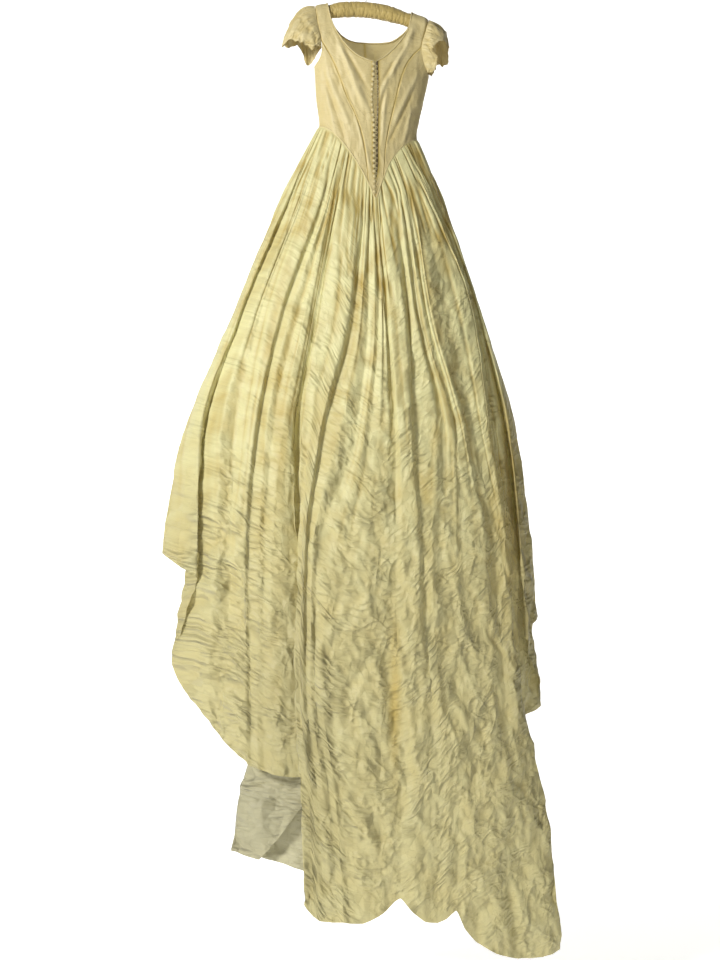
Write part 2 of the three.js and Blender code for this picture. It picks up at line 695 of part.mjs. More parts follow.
// Across the outline from left to right along the cloth: a line that goes back left lies behind.
const foldLines = [
  ["sideSeamLeft", -141, -255, -405, -549, -615, -621, -621, -621, 0, 0, 0, -1726],
  ["flapCrest", -138, -243, -393, -519, -567, -579, -579, -579, -5, -14, -14, -1756],
  ["flapEdge", -134, -233, -383, -497, -504, -510, -510, -510, -6, -16, -18, -1795],
  ["flankEdge", -130, -225, -375, -486, -530, -579, -579, -579, 12, 44, 40, -2056],
  ["flankValley", -126, -217, -367, -476, -486, -507, -507, -507, 12, 38, 26, -2170],
  ["flankRidge", -122, -200, -342, -435, -447, -465, -471, -471, -5, -12, -6, -2230],
  ["goldValley", -116, -186, -318, -387, -408, -417, -423, -423, 5, 12, 10, -2290],
  ["panelLeft", -106, -168, -288, -357, -393, -387, -387, -387, -6, -14, -8, -2326],
  ["panelRight", -88, -136, -261, -336, -363, -357, -357, -357, -8, -18, -8, -2350],
  ["panelDrop", -80, -122, -249, -324, -351, -345, -345, -345, 7, 18, 8, -2359],
  ["softRidge", -75, -113, -228, -300, -321, -324, -324, -324, -3, -7, -4, -2368],
  ["softValley", -71, -107, -207, -282, -303, -306, -306, -306, 4, 9, 5, -2374],
  ["innerRidge", -67, -102, -186, -252, -282, -285, -285, -285, -4, -10, -8, -2383],
  ["innerSlope", -64, -98, -172, -236, -261, -258, -258, -258, -1, -5, -4, -2389],
  ["deepValley", -61, -94, -162, -223, -234, -234, -225, -225, 5, 14, 16, -2392],
  ["tuckInner", -59, -91, -158, -217, -201, -171, -135, -135, 6, 20, 30, -2392],
  ["underFold", -57, -88, -154, -212, -219, -255, -309, -327, 7, 34, 75, -2638],
  ["underEdge", -55, -85, -150, -208, -225, -291, -375, -453, 9, 44, 92, -2608],
  ["underReturn", -53, -82, -147, -204, -210, -225, -234, -255, 9, 50, 110, -2650],
  ["tuckOuter", -51, -79, -144, -200, -192, -120, -75, -75, 6, 40, 60, -2716],
  ["trainEdge", -48, -76, -140, -194, -204, -212, -194, -182, -2, -4, -25, -2773],
  ["broadLeft", -38, -60, -99, -170, -192, -198, -171, -154, -5, -10, -24, -2809],
  ["broadRight", -8, -16, -57, -141, -184, -189, -158, -138, -8, -20, -20, -2821],
  ["broadDrop", 0, -6, -39, -129, -176, -178, -144, -120, 8, 18, -10, -2824],
  ["slantRidge", 7, 4, -15, -84, -162, -165, -126, -102, -5, -14, -16, -2827],
  ["slantValley", 13, 11, 6, -33, -147, -152, -108, -84, 6, 16, -6, -2827],
  ["lowRidge", 19, 18, 27, -9, -99, -135, -90, -66, -4, -8, -20, -2827],
  ["lowValley", 24, 25, 38, 9, -54, -108, -72, -48, 3, 6, -2, -2830],
  ["middleRidge", 28, 32, 48, 39, -3, -45, -30, -9, -3, -6, -14, -2830],
  ["middleSlope", 32, 41, 56, 69, 48, 30, 42, 54, 0, 0, -4, -2800],
  ["centreSeam", 36, 48, 63, 88, 88, 96, 106, 102, 6, 14, 14, -2755],
  ["streamLeft", 40, 56, 74, 99, 112, 129, 147, 141, -6, -14, -16, -2797],
  ["streamRight", 48, 72, 115, 136, 157, 168, 189, 177, -9, -20, -13, -2824],
  ["streamDrop", 53, 81, 128, 148, 170, 189, 219, 213, 8, 20, 10, -2827],
  ["splitRidge", 60, 93, 147, 210, 198, 216, 249, 243, -4, -10, -8, -2815],
  ["splitValley", 66, 104, 159, 231, 219, 240, 276, 270, 5, 12, 6, -2791],
  ["kneeRidge", 72, 114, 171, 255, 273, 288, 303, 294, -3, -8, -10, -2842],
  ["kneeValley", 78, 123, 182, 270, 290, 318, 327, 333, 4, 10, 8, -2887],
  ["longRidge", 87, 138, 201, 297, 360, 384, 396, 390, -7, -18, -10, -2920],
  ["brownValley", 94, 153, 249, 327, 381, 408, 441, 459, 8, 22, 10, -2935],
  ["shoulderRidge", 102, 171, 291, 351, 402, 426, 489, 528, -2, -4, -4, -2929],
  ["trainEdgeRight", 112, 189, 322, 369, 422, 444, 534, 578, -5, -14, -10, -2905],
  ["tuckRight", 120, 197, 329, 380, 429, 414, 465, 495, 4, 14, 40, -2434],
  ["rearPanel", 129, 205, 335, 402, 446, 465, 471, 471, 5, 20, 46, -2221],
  ["rearEdge", 138, 213, 341, 421, 460, 518, 540, 540, 10, 72, 60, -2182],
  ["stripEdge", 145, 221, 346, 430, 464, 483, 483, 483, -1, -2, -4, -1978],
  ["sideSeamRight", 153, 229, 351, 456, 498, 528, 528, 528, 0, 0, 0, -1912],
].map((row) => Object.fromEntries(foldColumns.map((key, i) => [key, row[i]])));

// Fullness of the skirt by height: middle, half width, and depth behind and in front.
const domeColumns = ["height", "middle", "halfWidth", "backDepth", "frontDepth"];
const domeSections = [
  [-2820, 20, 700, 270, 200],
  [-2460, -20, 640, 260, 200],
  [-2100, -46, 590, 240, 200],
  [-1740, -58, 558, 210, 190],
  [-1380, -46, 503, 170, 165],
  [-1020, -27, 379, 125, 130],
  [-660, -13, 243, 84, 90],
  [-440, 2, 152, 60, 62],
];
const domeBy = (column) => {
  const index = domeColumns.indexOf(column);
  return through(domeSections.map((row) => [row[0], row[index]]));
};
const domeMiddle = domeBy("middle");
const domeHalfWidth = domeBy("halfWidth");
const domeBack = domeBy("backDepth");
const domeFront = domeBy("frontDepth");

function foldAcross(row) {
  const topHeight = waistBackHeight(row.top);
  const lower = levels.filter((level) => level < topHeight - 60);
  return through([
    [topHeight, row.top],
    ...lower.map((level) => [level, row[`at${-level}`]]),
  ].reverse());
}
const sideSeamAcross = [foldLines[0], last(foldLines)].map(foldAcross);

// Above the side hems the fullness reaches from one side seam to the other.
function domeDepth(x, z) {
  const [left, right] = sideSeamAcross.map((across) => across(z));
  const low = ease(-1740, -2100, z);
  const middle = mix((left + right) / 2, domeMiddle(z), low);
  const share = clamp((x - middle) / mix((right - left) / 2, domeHalfWidth(z), low), -1, 1);
  return -domeBack(z) * (1 - share ** 2) ** 0.6;
}

function backFold(row) {
  const topHeight = waistBackHeight(row.top);
  const across = foldAcross(row);
  const relief = through([
    [reliefHeights[2], row.reliefLow], [reliefHeights[1], row.reliefMiddle],
    [reliefHeights[0], row.reliefHigh],
  ]);
  return {
    topHeight,
    hem: row.hem,
    isFront: false,
    across,
    depth: (z) => domeDepth(across(z), z) + relief(z) * ease(0, 330, topHeight - z),
  };
}

function frontFold(index) {
  const share = index / (frontFolds + 1);
  const sine = Math.cos(Math.PI * share);
  const turnedIn = Math.sin(Math.PI * share);
  const top = mix(mix(-141, 153, 0.5), sine > 0 ? 153 : -141, Math.abs(sine));
  const topHeight = waistFrontHeight(top);
  const wander = 9 * Math.sin(index * 2.7) * turnedIn;
  const height = (index % 2 === 0 ? 1 : -1) * (0.7 + 0.3 * Math.sin(index * 1.9));
  const across = (z) => {
    const [left, right] = sideSeamAcross.map((seam) => seam(z));
    const fall = clamp((topHeight - z) / 330, 0, 1);
    return mix(
      top, mix(left, right, (1 + sine) / 2) + wander * fall,
      1 - (1 - fall) ** 2 * (1 - sine ** 4),
    );
  };
  const sideHem = sine > 0 ? -1912 : -1726;
  return {
    topHeight,
    hem: mix(-1564, sideHem, sine ** 2),
    isFront: true,
    across,
    depth: (z) => domeFront(z) * turnedIn ** 1.2
      + height * 18 * turnedIn * ease(0, 900, topHeight - z),
  };
}

const folds = [
  ...foldLines.map(backFold),
  ...Array.from({ length: frontFolds }, (unused, i) => frontFold(i + 1)),
];

// Upper rows of the skirt are level; the lower ones part to reach the uneven hem.
const levelShare = 0.5;
const levelHeight = -1250;
const sideHemHeight = -1726;
function heightOn(fold, share) {
  if (share < levelShare) {
    return mix(fold.topHeight, levelHeight, (share / levelShare) ** 1.25);
  }
  const lower = (share - levelShare) / (1 - levelShare);
  return mix(levelHeight, sideHemHeight, lower) + (fold.hem - sideHemHeight) * lower ** 1.6;
}

function foldPoint(fold, share) {
  const z = heightOn(fold, share);
  const x = fold.across(z);
  const [turn, down] = onBody(fold.across(fold.topHeight), fold.topHeight);
  const atWaist = bodyPoint(fold.isFront, turn, down).y;
  return toDepth(x, mix(atWaist, fold.depth(z), ease(0, 160, fold.topHeight - z)), z);
}

// One ring of the whole skirt: a column on each fold line and rounded columns between them.
const skirtRing = Array.from({ length: skirtRows + 1 }, (unused, r) => {
  const onFolds = folds.map((fold) => foldPoint(fold, r / skirtRows));
  return new THREE.CatmullRomCurve3(onFolds, true, "centripetal");
}).map((curve) => Array.from({ length: folds.length * skirtSteps }, (none, c) => curve.getPoint(
  c / (folds.length * skirtSteps),
)));
// Inside a sharp fold the wall is mitred, so that it keeps its thickness on both sides.
const deepestMitre = 8;
const ringStep = (row, c, step) => row[(c + step + row.length) % row.length];
const skirtDown = skirtRing.map((row, r) => row.map((point, c) => (
  skirtRing[Math.min(r + 1, skirtRows)][c].clone().sub(skirtRing[Math.max(r - 1, 0)][c])
)));
const faceNormals = skirtRing.map((row, r) => row.map((point, c) => (
  skirtDown[r][c].clone().add(ringStep(skirtDown[r], c, 1))
    .cross(ringStep(row, c, 1).clone().sub(point)).normalize()
)));
const skirtNormals = skirtRing.map((row, r) => row.map((point, c) => {
  const toNext = ringStep(row, c, 1).clone().sub(point);
  const toLast = ringStep(row, c, -1).clone().sub(point);
  const room = (0.7 * Math.min(toNext.length(), toLast.length())) / clothWall;
  const after = faceNormals[r][c];
  const normal = after.clone().add(ringStep(faceNormals[r], c, -1)).normalize();
  const isInside = toNext.normalize().add(toLast.normalize()).dot(normal) < 0;
  const mitre = isInside ? 1 / Math.max(normal.dot(after), 1 / deepestMitre) : 1;
  return normal.multiplyScalar(Math.max(1, Math.min(mitre, room)));
}));

// The top row moves down its own columns until it is clear of the waist piping.
const skirtInset = pipedInset + 2 * seamGap;
const skirtTop = skirtRing[0].map((point, c) => {
  const across = ringStep(skirtRing[0], c, 1).clone().sub(ringStep(skirtRing[0], c, -1));
  const fromPiping = across.cross(skirtNormals[0][c]).normalize();
  const down = skirtDown[0][c].clone().normalize();
  return point.clone().addScaledVector(down, skirtInset / Math.max(0.3, down.dot(fromPiping)));
});
const skirtGrid = [skirtTop, ...skirtRing.slice(1)];
const foldIndex = (name) => foldLines.findIndex((row) => row.name === name);

function skirtPiece(name, fromFold, toFold, finish) {
  const from = fromFold * skirtSteps;
  const to = toFold * skirtSteps;
  const take = (rows) => rows.map((row) => Array.from(
    { length: to - from + 1 }, (unused, i) => row[(from + i) % row.length],
  ));
  addPiece(name, clothGeometry(insetGrid(take(skirtGrid), take(skirtNormals), {
    left: () => halfGap, right: () => halfGap,
  }), take(skirtNormals)), finish);
}

skirtPiece("skirt_side_left", foldIndex("sideSeamLeft"), foldIndex("goldValley"), silk);
skirtPiece("train_left", foldIndex("goldValley"), foldIndex("centreSeam"), silk);
skirtPiece("train_right", foldIndex("centreSeam"), foldIndex("rearPanel"), silk);
skirtPiece("skirt_side_right", foldIndex("rearPanel"), foldIndex("sideSeamRight"), agedSilk);
skirtPiece("skirt_front", foldIndex("sideSeamRight"), folds.length, silk);

// ---- padded hanger --------------------------------------------------------------------------
const padSteps = 46;
const padTurn = Math.PI * padRadius / 2;
const padRun = 2 * padHalfLength + 2 * padTurn;
const padSections = Array.from({ length: padSteps + 1 }, (unused, i) => {
  const run = (padRun * i) / padSteps;
  const fromEnd = Math.min(run, padRun - run);
  const side = run < padRun / 2 ? -1 : 1;
  const angle = clamp(fromEnd / padRadius, 0, Math.PI / 2);
  const x = fromEnd < padTurn
    ? side * (padHalfLength + padRadius * Math.cos(angle))
    : run - padTurn - padHalfLength;
  const gather = 0.4 * Math.sin((padGathers * 2 * Math.PI * i) / padSteps + 0.7 * (i % 3));
  const thick = mix(padMiddleRadius, padRadius, ease(70, 115, Math.abs(x))) + gather;
  return { x, radius: fromEnd < padTurn ? padRadius * Math.sin(angle) : thick };
});
const padMiddles = padSections.map(({ x }) => new THREE.Vector3(x, 0, padHeight(x)));
addPiece("hanger_pad", cordGeometry(
  padMiddles, (i) => Math.max(padSections[i].radius, 0.6), 12, false,
  () => new THREE.Vector3(0, -1, 0),
), agedSilk);

const hookCentre = hookRadius + hookWire;
const hookPath = [[0, padHeightAtHook + padMiddleRadius + 0.45], [0, -60], [7, -51]];
for (let degrees = -52; degrees <= 205; degrees += 15) {
  const angle = (degrees * Math.PI) / 180;
  hookPath.push([hookCentre * Math.cos(angle), -hookRadius + hookCentre * Math.sin(angle)]);
}
const hookCurve = new THREE.CatmullRomCurve3(
  hookPath.map(([x, z]) => new THREE.Vector3(x, 0, z)), false, "centripetal",
);
addPiece("hanger_hook", cordGeometry(
  hookCurve.getSpacedPoints(30), () => hookWire, 6, false, () => new THREE.Vector3(0, -1, 0),
), steel);

export default group;
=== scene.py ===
import math

import bpy
import numpy as np
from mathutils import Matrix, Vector


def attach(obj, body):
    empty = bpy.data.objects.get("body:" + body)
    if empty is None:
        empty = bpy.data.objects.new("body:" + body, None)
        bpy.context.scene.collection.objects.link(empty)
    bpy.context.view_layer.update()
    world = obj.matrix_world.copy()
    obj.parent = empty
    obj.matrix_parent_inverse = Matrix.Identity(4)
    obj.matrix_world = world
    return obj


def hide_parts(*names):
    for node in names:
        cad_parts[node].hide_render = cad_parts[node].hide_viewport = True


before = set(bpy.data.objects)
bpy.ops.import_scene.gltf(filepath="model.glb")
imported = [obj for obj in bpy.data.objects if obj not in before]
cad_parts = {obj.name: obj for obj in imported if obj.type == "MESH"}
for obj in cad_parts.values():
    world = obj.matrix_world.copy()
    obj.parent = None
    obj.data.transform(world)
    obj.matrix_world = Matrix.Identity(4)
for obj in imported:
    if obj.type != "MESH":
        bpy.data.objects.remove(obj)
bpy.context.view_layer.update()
print("frame loaded")

# Sizes and tables are in millimetres, as the part's are. Meshes are scaled to metres at the end.
mm = 0.001
clothWall = 1.5
eye = {"distance": 6000, "across": -18, "height": -1504, "lens": 75}    # level with the mid skirt
shoulderRadius = 26          # outer face of the cloth that lies over the pad


def mix(a, b, share):
    return a + (b - a) * share


def ease(start, end, value):
    share = np.clip((value - start) / (end - start), 0, 1)
    return share * share * (3 - 2 * share)


def unit(vectors):
    return vectors / np.maximum(np.linalg.norm(vectors, axis=-1, keepdims=True), 1e-9)


# cubic from a to b, with the slope at each end
def cubic(t, a, b, slopeA, slopeB):
    return ((2 * t**3 - 3 * t**2 + 1) * a + (t**3 - 2 * t**2 + t) * slopeA
            + (3 * t**2 - 2 * t**3) * b + (t**3 - t**2) * slopeB)


# smooth value through [position, value] rows, with no overshoot
def through(rows):
    at = np.array([row[0] for row in rows], float)
    value = np.array([row[1] for row in rows], float)
    steps = np.diff(value) / np.diff(at)
    slope = np.zeros(len(at))
    slope[0], slope[-1] = steps[0], steps[-1]
    for i in range(1, len(at) - 1):
        if steps[i - 1] * steps[i] > 0:
            slope[i] = 2 * steps[i - 1] * steps[i] / (steps[i - 1] + steps[i])

    def look(position):
        place = np.clip(position, at[0], at[-1])
        i = np.clip(np.searchsorted(at, place, side="left") - 1, 0, len(at) - 2)
        span = at[i + 1] - at[i]
        t = (place - at[i]) / span
        return cubic(t, value[i], value[i + 1], span * slope[i], span * slope[i + 1])
    return look


# curve through the last-but-one axis of points, read at places counted in points
def curveAt(points, places, closed=False, even=False):
    count = points.shape[-2]
    places = np.asarray(places, float)
    whole = np.floor(places).astype(int)
    if not closed:
        whole = np.minimum(whole, count - 2)
    t = (places - whole)[:, None]

    def pick(offset):
        index = whole + offset
        if closed:
            return np.take(points, index % count, axis=-2)
        taken = np.take(points, np.clip(index, 0, count - 1), axis=-2)
        low = 2 * points[..., :1, :] - points[..., 1:2, :]
        high = 2 * points[..., -1:, :] - points[..., -2:-1, :]
        taken = np.where((index < 0)[:, None], low, taken)
        return np.where((index > count - 1)[:, None], high, taken)
    p0, p1, p2, p3 = (pick(k) for k in (-1, 0, 1, 2))
    if even:
        d0 = d1 = d2 = 1.0
    else:
        d0, d1, d2 = (np.maximum(np.linalg.norm(b - a, axis=-1, keepdims=True), 1e-6) ** 0.5
                      for a, b in ((p0, p1), (p1, p2), (p2, p3)))
    m1 = ((p1 - p0) / d0 - (p2 - p0) / (d0 + d1) + (p2 - p1) / d1) * d1
    m2 = ((p2 - p1) / d1 - (p3 - p1) / (d1 + d2) + (p3 - p2) / d2) * d1
    return cubic(t, p1, p2, m1, m2)


# distance along one axis of a line or grid of points
def runAlong(points, axis=0):
    first = np.take(points, [0], axis=axis)
    steps = np.diff(points, axis=axis, prepend=first)
    return np.cumsum(np.linalg.norm(steps, axis=-1), axis=axis)


# points of an outline line at shares of its length
def spaced(pairs, shares):
    points = np.array([[x, z, 0.0] for x, z in pairs])
    fine = curveAt(points, np.linspace(0, len(pairs) - 1, 60 * len(pairs)))
    run = runAlong(fine)
    places = np.asarray(shares) * run[-1]
    return np.stack([np.interp(places, run, fine[:, k]) for k in (0, 1)], axis=1)


# smooth random height from -1 to 1, the same on every run
def noise(u, v, seed):
    size = 97          # cells before the pattern repeats
    table = np.random.default_rng(seed).uniform(-1, 1, (size, size))
    wholeU, wholeV = np.floor(u).astype(int), np.floor(v).astype(int)
    partU, partV = u - wholeU, v - wholeV
    easeU, easeV = partU * partU * (3 - 2 * partU), partV * partV * (3 - 2 * partV)

    def at(a, b):
        return table[(wholeU + a) % size, (wholeV + b) % size]
    return mix(mix(at(0, 0), at(1, 0), easeU), mix(at(0, 1), at(1, 1), easeU), easeV)


# hollows about one unit wide, each smooth inside, that meet in sharp ridges
def hollows(u, v, seed):
    size = 61          # cells before the pattern repeats
    offsets = np.random.default_rng(seed).uniform(0, 1, (size, size, 2))
    wholeU, wholeV = np.floor(u).astype(int), np.floor(v).astype(int)
    nearest = np.full(np.shape(u), 9.0)
    for a in (-1, 0, 1):
        for b in (-1, 0, 1):
            place = offsets[(wholeU + a) % size, (wholeV + b) % size]
            gapU, gapV = wholeU + a + place[..., 0] - u, wholeV + b + place[..., 1] - v
            nearest = np.minimum(nearest, gapU**2 + gapV**2)
    middle = 0.22      # mean of the nearest gap squared
    return nearest - middle


# crumpled silk: hollows with sharp ridges between them, and bulges with sharp troughs; each layer
# is slanted and stretched its own way, so that no grid shows
def crumple(u, v, seed):
    bentU = u + 0.4 * noise(v * 0.7, u * 0.7, seed + 3)
    bentV = v + 0.4 * noise(u * 0.8, v * 0.8, seed + 4)
    ridges = hollows(0.95 * bentU + 0.4 * bentV, 0.62 * bentV - 0.35 * bentU, seed)
    troughs = hollows(0.75 * bentU - 0.42 * bentV, 0.6 * bentV + 0.4 * bentU, seed + 1)
    small = hollows(1.9 * bentU - 0.5 * bentV, 1.5 * bentV + 0.7 * bentU, seed + 2)
    return 2.2 * ridges - 1.9 * troughs + 0.7 * small


# uneven pleats about one unit wide: broad tops between sharp troughs that come and go
def pleat(across, down, seed):
    bent = across + 0.5 * noise(across * 0.4, down * 1.3, seed + 1)
    return np.minimum(2.4 * np.abs(noise(bent * 1.25, down, seed)), 1) - 0.6


# moves a point of the outline plane to its own depth along the level line of sight
def toDepth(x, y, z):
    beyondPad = np.sign(y) * np.maximum(0, np.abs(y) - shoulderRadius)
    scale = 1 + beyondPad / eye["distance"]
    return np.stack(np.broadcast_arrays(
        eye["across"] + (x - eye["across"]) * scale, y,
        eye["height"] + (z - eye["height"]) * scale,
    ), axis=-1)


def linear(hexColour):
    parts = [int(hexColour[i:i + 2], 16) / 255 for i in (1, 3, 5)]
    return [c / 12.92 if c <= 0.04045 else ((c + 0.055) / 1.055) ** 2.4 for c in parts] + [1.0]


scene = bpy.context.scene
cameraData = bpy.data.cameras.new("camera")
cameraData.sensor_fit = "VERTICAL"
cameraData.sensor_height = 36
cameraData.lens = eye["lens"]
camera = bpy.data.objects.new("camera", cameraData)
camera.location = (eye["across"] * mm, -eye["distance"] * mm, eye["height"] * mm)
camera.rotation_euler = (math.pi / 2, 0, 0)
scene.collection.objects.link(camera)
scene.camera = camera
scene.view_settings.view_transform = "Standard"


# one node, with its settings and what feeds its inputs: iN is input N, other keys are input names
def addNode(material, kind, settings=None, **inputs):
    node = material.node_tree.nodes.new(f"ShaderNode{kind}")
    for key, value in (settings or {}).items():
        setattr(node, key, value)
    for key, value in inputs.items():
        socket = node.inputs[int(key[1:])] if key[1:].isdigit() else node.inputs[key.replace("_", " ")]
        if isinstance(value, bpy.types.Node):
            value = value.outputs[0]
        if isinstance(value, bpy.types.NodeSocket):
            material.node_tree.links.new(value, socket)
        else:
            socket.default_value = value
    return node


def newMaterial(name):
    material = bpy.data.materials.new(name)
    material.use_nodes = True
    material.node_tree.nodes.clear()
    return material


# ivory silk gone yellow with age and darker towards the hem; its valley colour is painted golden shade,
# grey is the under fold's reverse side with painted shade, deep is painted shadow
silkColours = {
    "skirt": "#e9e5b0", "bodice": "#d4c798", "valleyShade": "#bda558", "low": "#beb686",
    "greyAndShade": "#b9b596", "pad": "#bfb084", "gapShadow": "#3f2f18",
}
# sizes across and down the cloth; slubs and ribs are several threads wide, since one wouldn't show
silkPattern = {
    "slubs": (35.7, 2.38), "ribs": (11.1, 1.11), "ribHeight": 0.2, "stains": (250, 333),
    "drift": (71.4, 90.9), "driftReach": 30, "largeFacets": (41.7, 71.4), "smallFacets": (16.13, 25),
    "creases": [(0.45, (167, 41.7)), (-0.6, (143, 37.0)), (0.1, (90.9, 25)), (1.25, (167, 45.5))],
    "breaks": (83.3, 111),
}


# Woven silk. The weft is uneven, so ribs and slubs run across it; folds and floor wear have left
# it crinkled. Seen whole, it gives the eye faint level streaks and many small broken creases.
def silkMaterial(name, base, crinkle, lit):
    material = newMaterial(name)
    place = addNode(material, "Attribute", {"attribute_name": "weave"}).outputs["Vector"]
    # the wear attribute holds painted shade for valleys and the closing, darkening low down, and how
    # crinkled the cloth is
    wearAndShade = addNode(material, "Attribute", {"attribute_name": "wearAndShade"}).outputs["Vector"]
    valleyShade, low, rough = addNode(material, "SeparateXYZ", i0=wearAndShade).outputs

    # the same place counted in patterns of this size
    def counted(source, size):
        return addNode(
            material, "VectorMath", {"operation": "MULTIPLY"}, i0=source,
            i1=(1 / (size[0] * mm), 1 / (size[1] * mm), 1))

    def uneven(source, size, detail):
        return addNode(material, "TexNoise", i0=counted(source, size), Scale=1.0, Detail=detail)
    slubs = uneven(place, silkPattern["slubs"], 3.0)
    breaks = addNode(
        material, "MapRange", i0=uneven(place, silkPattern["breaks"], 2.0), i1=0.36, i2=0.56)
    reach = silkPattern["driftReach"] * mm
    bent = addNode(
        material, "VectorMath", {"operation": "MULTIPLY_ADD"},
        i0=uneven(place, silkPattern["drift"], 1.0).outputs["Color"], i1=(reach, reach, 0.0),
        i2=place)

    # flat facets, each tilted its own way, with a sharp crease where two of them meet
    def facets(size):
        scaled = counted(bent, size)
        cells = addNode(material, "TexVoronoi", i0=scaled, Scale=1.0)
        within = addNode(
            material, "VectorMath", {"operation": "SUBTRACT"}, i0=scaled,
            i1=cells.outputs["Position"])
        tilt = addNode(
            material, "VectorMath", {"operation": "SUBTRACT"}, i0=cells.outputs["Color"],
            i1=(0.5, 0.5, 0.5))
        return addNode(
            material, "VectorMath", {"operation": "DOT_PRODUCT"}, i0=within, i1=tilt,
        ).outputs["Value"]

    # thin creases, longer one way than the other, that stop and start again
    def creases(turn, size):
        turned = addNode(
            material, "VectorRotate", {"rotation_type": "Z_AXIS"}, i0=bent, Angle=turn)
        offLine = addNode(
            material, "Math", {"operation": "SUBTRACT"}, i0=uneven(turned, size, 1.0), i1=0.5)
        offLine = addNode(material, "Math", {"operation": "ABSOLUTE"}, i0=offLine)
        ridge = addNode(material, "MapRange", i0=offLine, i1=0.0, i2=0.15, i3=1.0, i4=0.0)
        return addNode(material, "Math", {"operation": "MULTIPLY"}, i0=ridge, i1=breaks)
    height = facets(silkPattern["largeFacets"])
    parts = [(facets(silkPattern["smallFacets"]), 0.4)]
    parts += [(creases(turn, size), 0.2) for turn, size in silkPattern["creases"]]
    for part, share in parts:
        height = addNode(
            material, "Math", {"operation": "MULTIPLY_ADD"}, i0=part, i1=share, i2=height)
    height = addNode(material, "Math", {"operation": "MULTIPLY"}, i0=height, i1=rough)
    folds = addNode(material, "Bump", Strength=1.0, Distance=crinkle * mm, Height=height)
    threads = addNode(
        material, "Math", {"operation": "MULTIPLY_ADD"}, i0=slubs, i1=0.6,
        i2=uneven(place, silkPattern["ribs"], 1.0))
    weave = addNode(
        material, "Bump", Strength=1.0, Distance=silkPattern["ribHeight"] * mm, Height=threads,
        Normal=folds)

    # duller and darker low down, and grey with painted shade on the under fold; painted golden shade in
    # valleys, painted dark brown shadow in the closing; faintly stained
    greyAndShade, gapShadow = (
        addNode(material, "Math", {"operation": "SUBTRACT"}, i0=share, i1=1.0)
        for share in (low, valleyShade))
    # the faint stains take the same golden colour as the painted valley shade
    stains = addNode(
        material, "MapRange", i0=uneven(place, silkPattern["stains"], 3.0), i1=0.3, i2=0.7,
        i3=0.0, i4=0.1)
    colour = linear(silkColours[base])
    for share, tint in (
            (low, "low"), (greyAndShade, "greyAndShade"), (valleyShade, "valleyShade"), (gapShadow, "gapShadow"), (stains, "valleyShade")):
        colour = addNode(
            material, "Mix", {"data_type": "RGBA"}, i0=share, i6=colour,
            i7=linear(silkColours[tint])).outputs[2]
    shine = addNode(material, "MapRange", i0=slubs, i1=0.35, i2=0.7, i3=0.96, i4=1.03)
    colour = addNode(
        material, "VectorMath", {"operation": "SCALE"}, i0=colour, Scale=shine)
    surface = addNode(
        material, "BsdfPrincipled", Base_Color=colour, Roughness=0.5, Sheen_Weight=0.2,
        Sheen_Roughness=0.5, Specular_IOR_Level=0.4, Normal=weave)
    glow = addNode(material, "BsdfTranslucent", Color=colour, Normal=weave)
    both = addNode(material, "MixShader", i0=lit, i1=surface, i2=glow)
    addNode(material, "OutputMaterial", Surface=both)
    return material


bodiceSilk = silkMaterial("bodice_silk_pressed", "bodice", crinkle=2.6, lit=0.06)
frontSilk = silkMaterial("bodice_silk_unlined", "bodice", crinkle=2.6, lit=0.5)
skirtSilk = silkMaterial("skirt_silk_crumpled", "skirt", crinkle=18.0, lit=0.2)
padSilk = silkMaterial("pad_cover_gathered", "pad", crinkle=4.0, lit=0.05)

# Plated wire, drawn round and nearly smooth: it gives the eye a dull grey line with one thin highlight.
wireSteel = newMaterial("plated_steel_wire")
addNode(wireSteel, "OutputMaterial", Surface=addNode(
    wireSteel, "BsdfPrincipled", Base_Color=linear("#b7b6b0"), Metallic=1.0, Roughness=0.32))
print("camera and materials made")


def surfaceMesh(name, points, faces, weave, wearAndShade, material):
    mesh = bpy.data.meshes.new(f"{name}_cloth")
    mesh.vertices.add(len(points))
    mesh.vertices.foreach_set("co", (points * mm).ravel())
    mesh.loops.add(faces.size)
    mesh.loops.foreach_set("vertex_index", faces.ravel())
    mesh.polygons.add(len(faces))
    mesh.polygons.foreach_set("loop_start", np.arange(0, faces.size, faces.shape[1]))
    mesh.update(calc_edges=True)
    mesh.polygons.foreach_set("use_smooth", np.ones(len(faces), bool))
    for key, values in (("weave", weave * mm), ("wearAndShade", wearAndShade)):
        mesh.attributes.new(key, "FLOAT_VECTOR", "POINT").data.foreach_set(
            "vector", np.ascontiguousarray(values, float).ravel())
    mesh.materials.append(material)
    piece = bpy.data.objects.new(f"{name}_piece", mesh)
    scene.collection.objects.link(piece)
    return piece


def finish(piece):
    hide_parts(piece.name.removesuffix("_piece"))
    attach(piece, "root")
    return piece


def stack(*parts):
    return np.stack(np.broadcast_arrays(*parts), axis=-1).astype(float)


# faces between rings of points and the next rings, with the last side joined to the first
def ringFaces(rings, nextRings):
    corners = [rings, np.roll(rings, -1, axis=1), np.roll(nextRings, -1, axis=1), nextRings]
    return np.stack(corners, axis=-1).reshape(-1, 4)


# open sheet of cloth on a grid of points: rows run down, columns run round
def sheetMesh(name, grid, weave, wearAndShade, material):
    rows, columns = grid.shape[:2]
    index = np.arange(rows * columns).reshape(rows, columns)
    faces = np.stack([index[:-1, :-1], index[1:, :-1], index[1:, 1:], index[:-1, 1:]], axis=-1)
    return surfaceMesh(
        name, grid.reshape(-1, 3), faces.reshape(-1, 4), weave.reshape(-1, 3),
        wearAndShade.reshape(-1, 3), material)


def stepAlong(points, axis, closed):
    if closed:
        return np.roll(points, -1, axis=axis) - np.roll(points, 1, axis=axis)
    return np.gradient(points, axis=axis)


def gridNormals(grid, closed=False):
    return unit(np.cross(stepAlong(grid, 0, False), stepAlong(grid, 1, closed)))


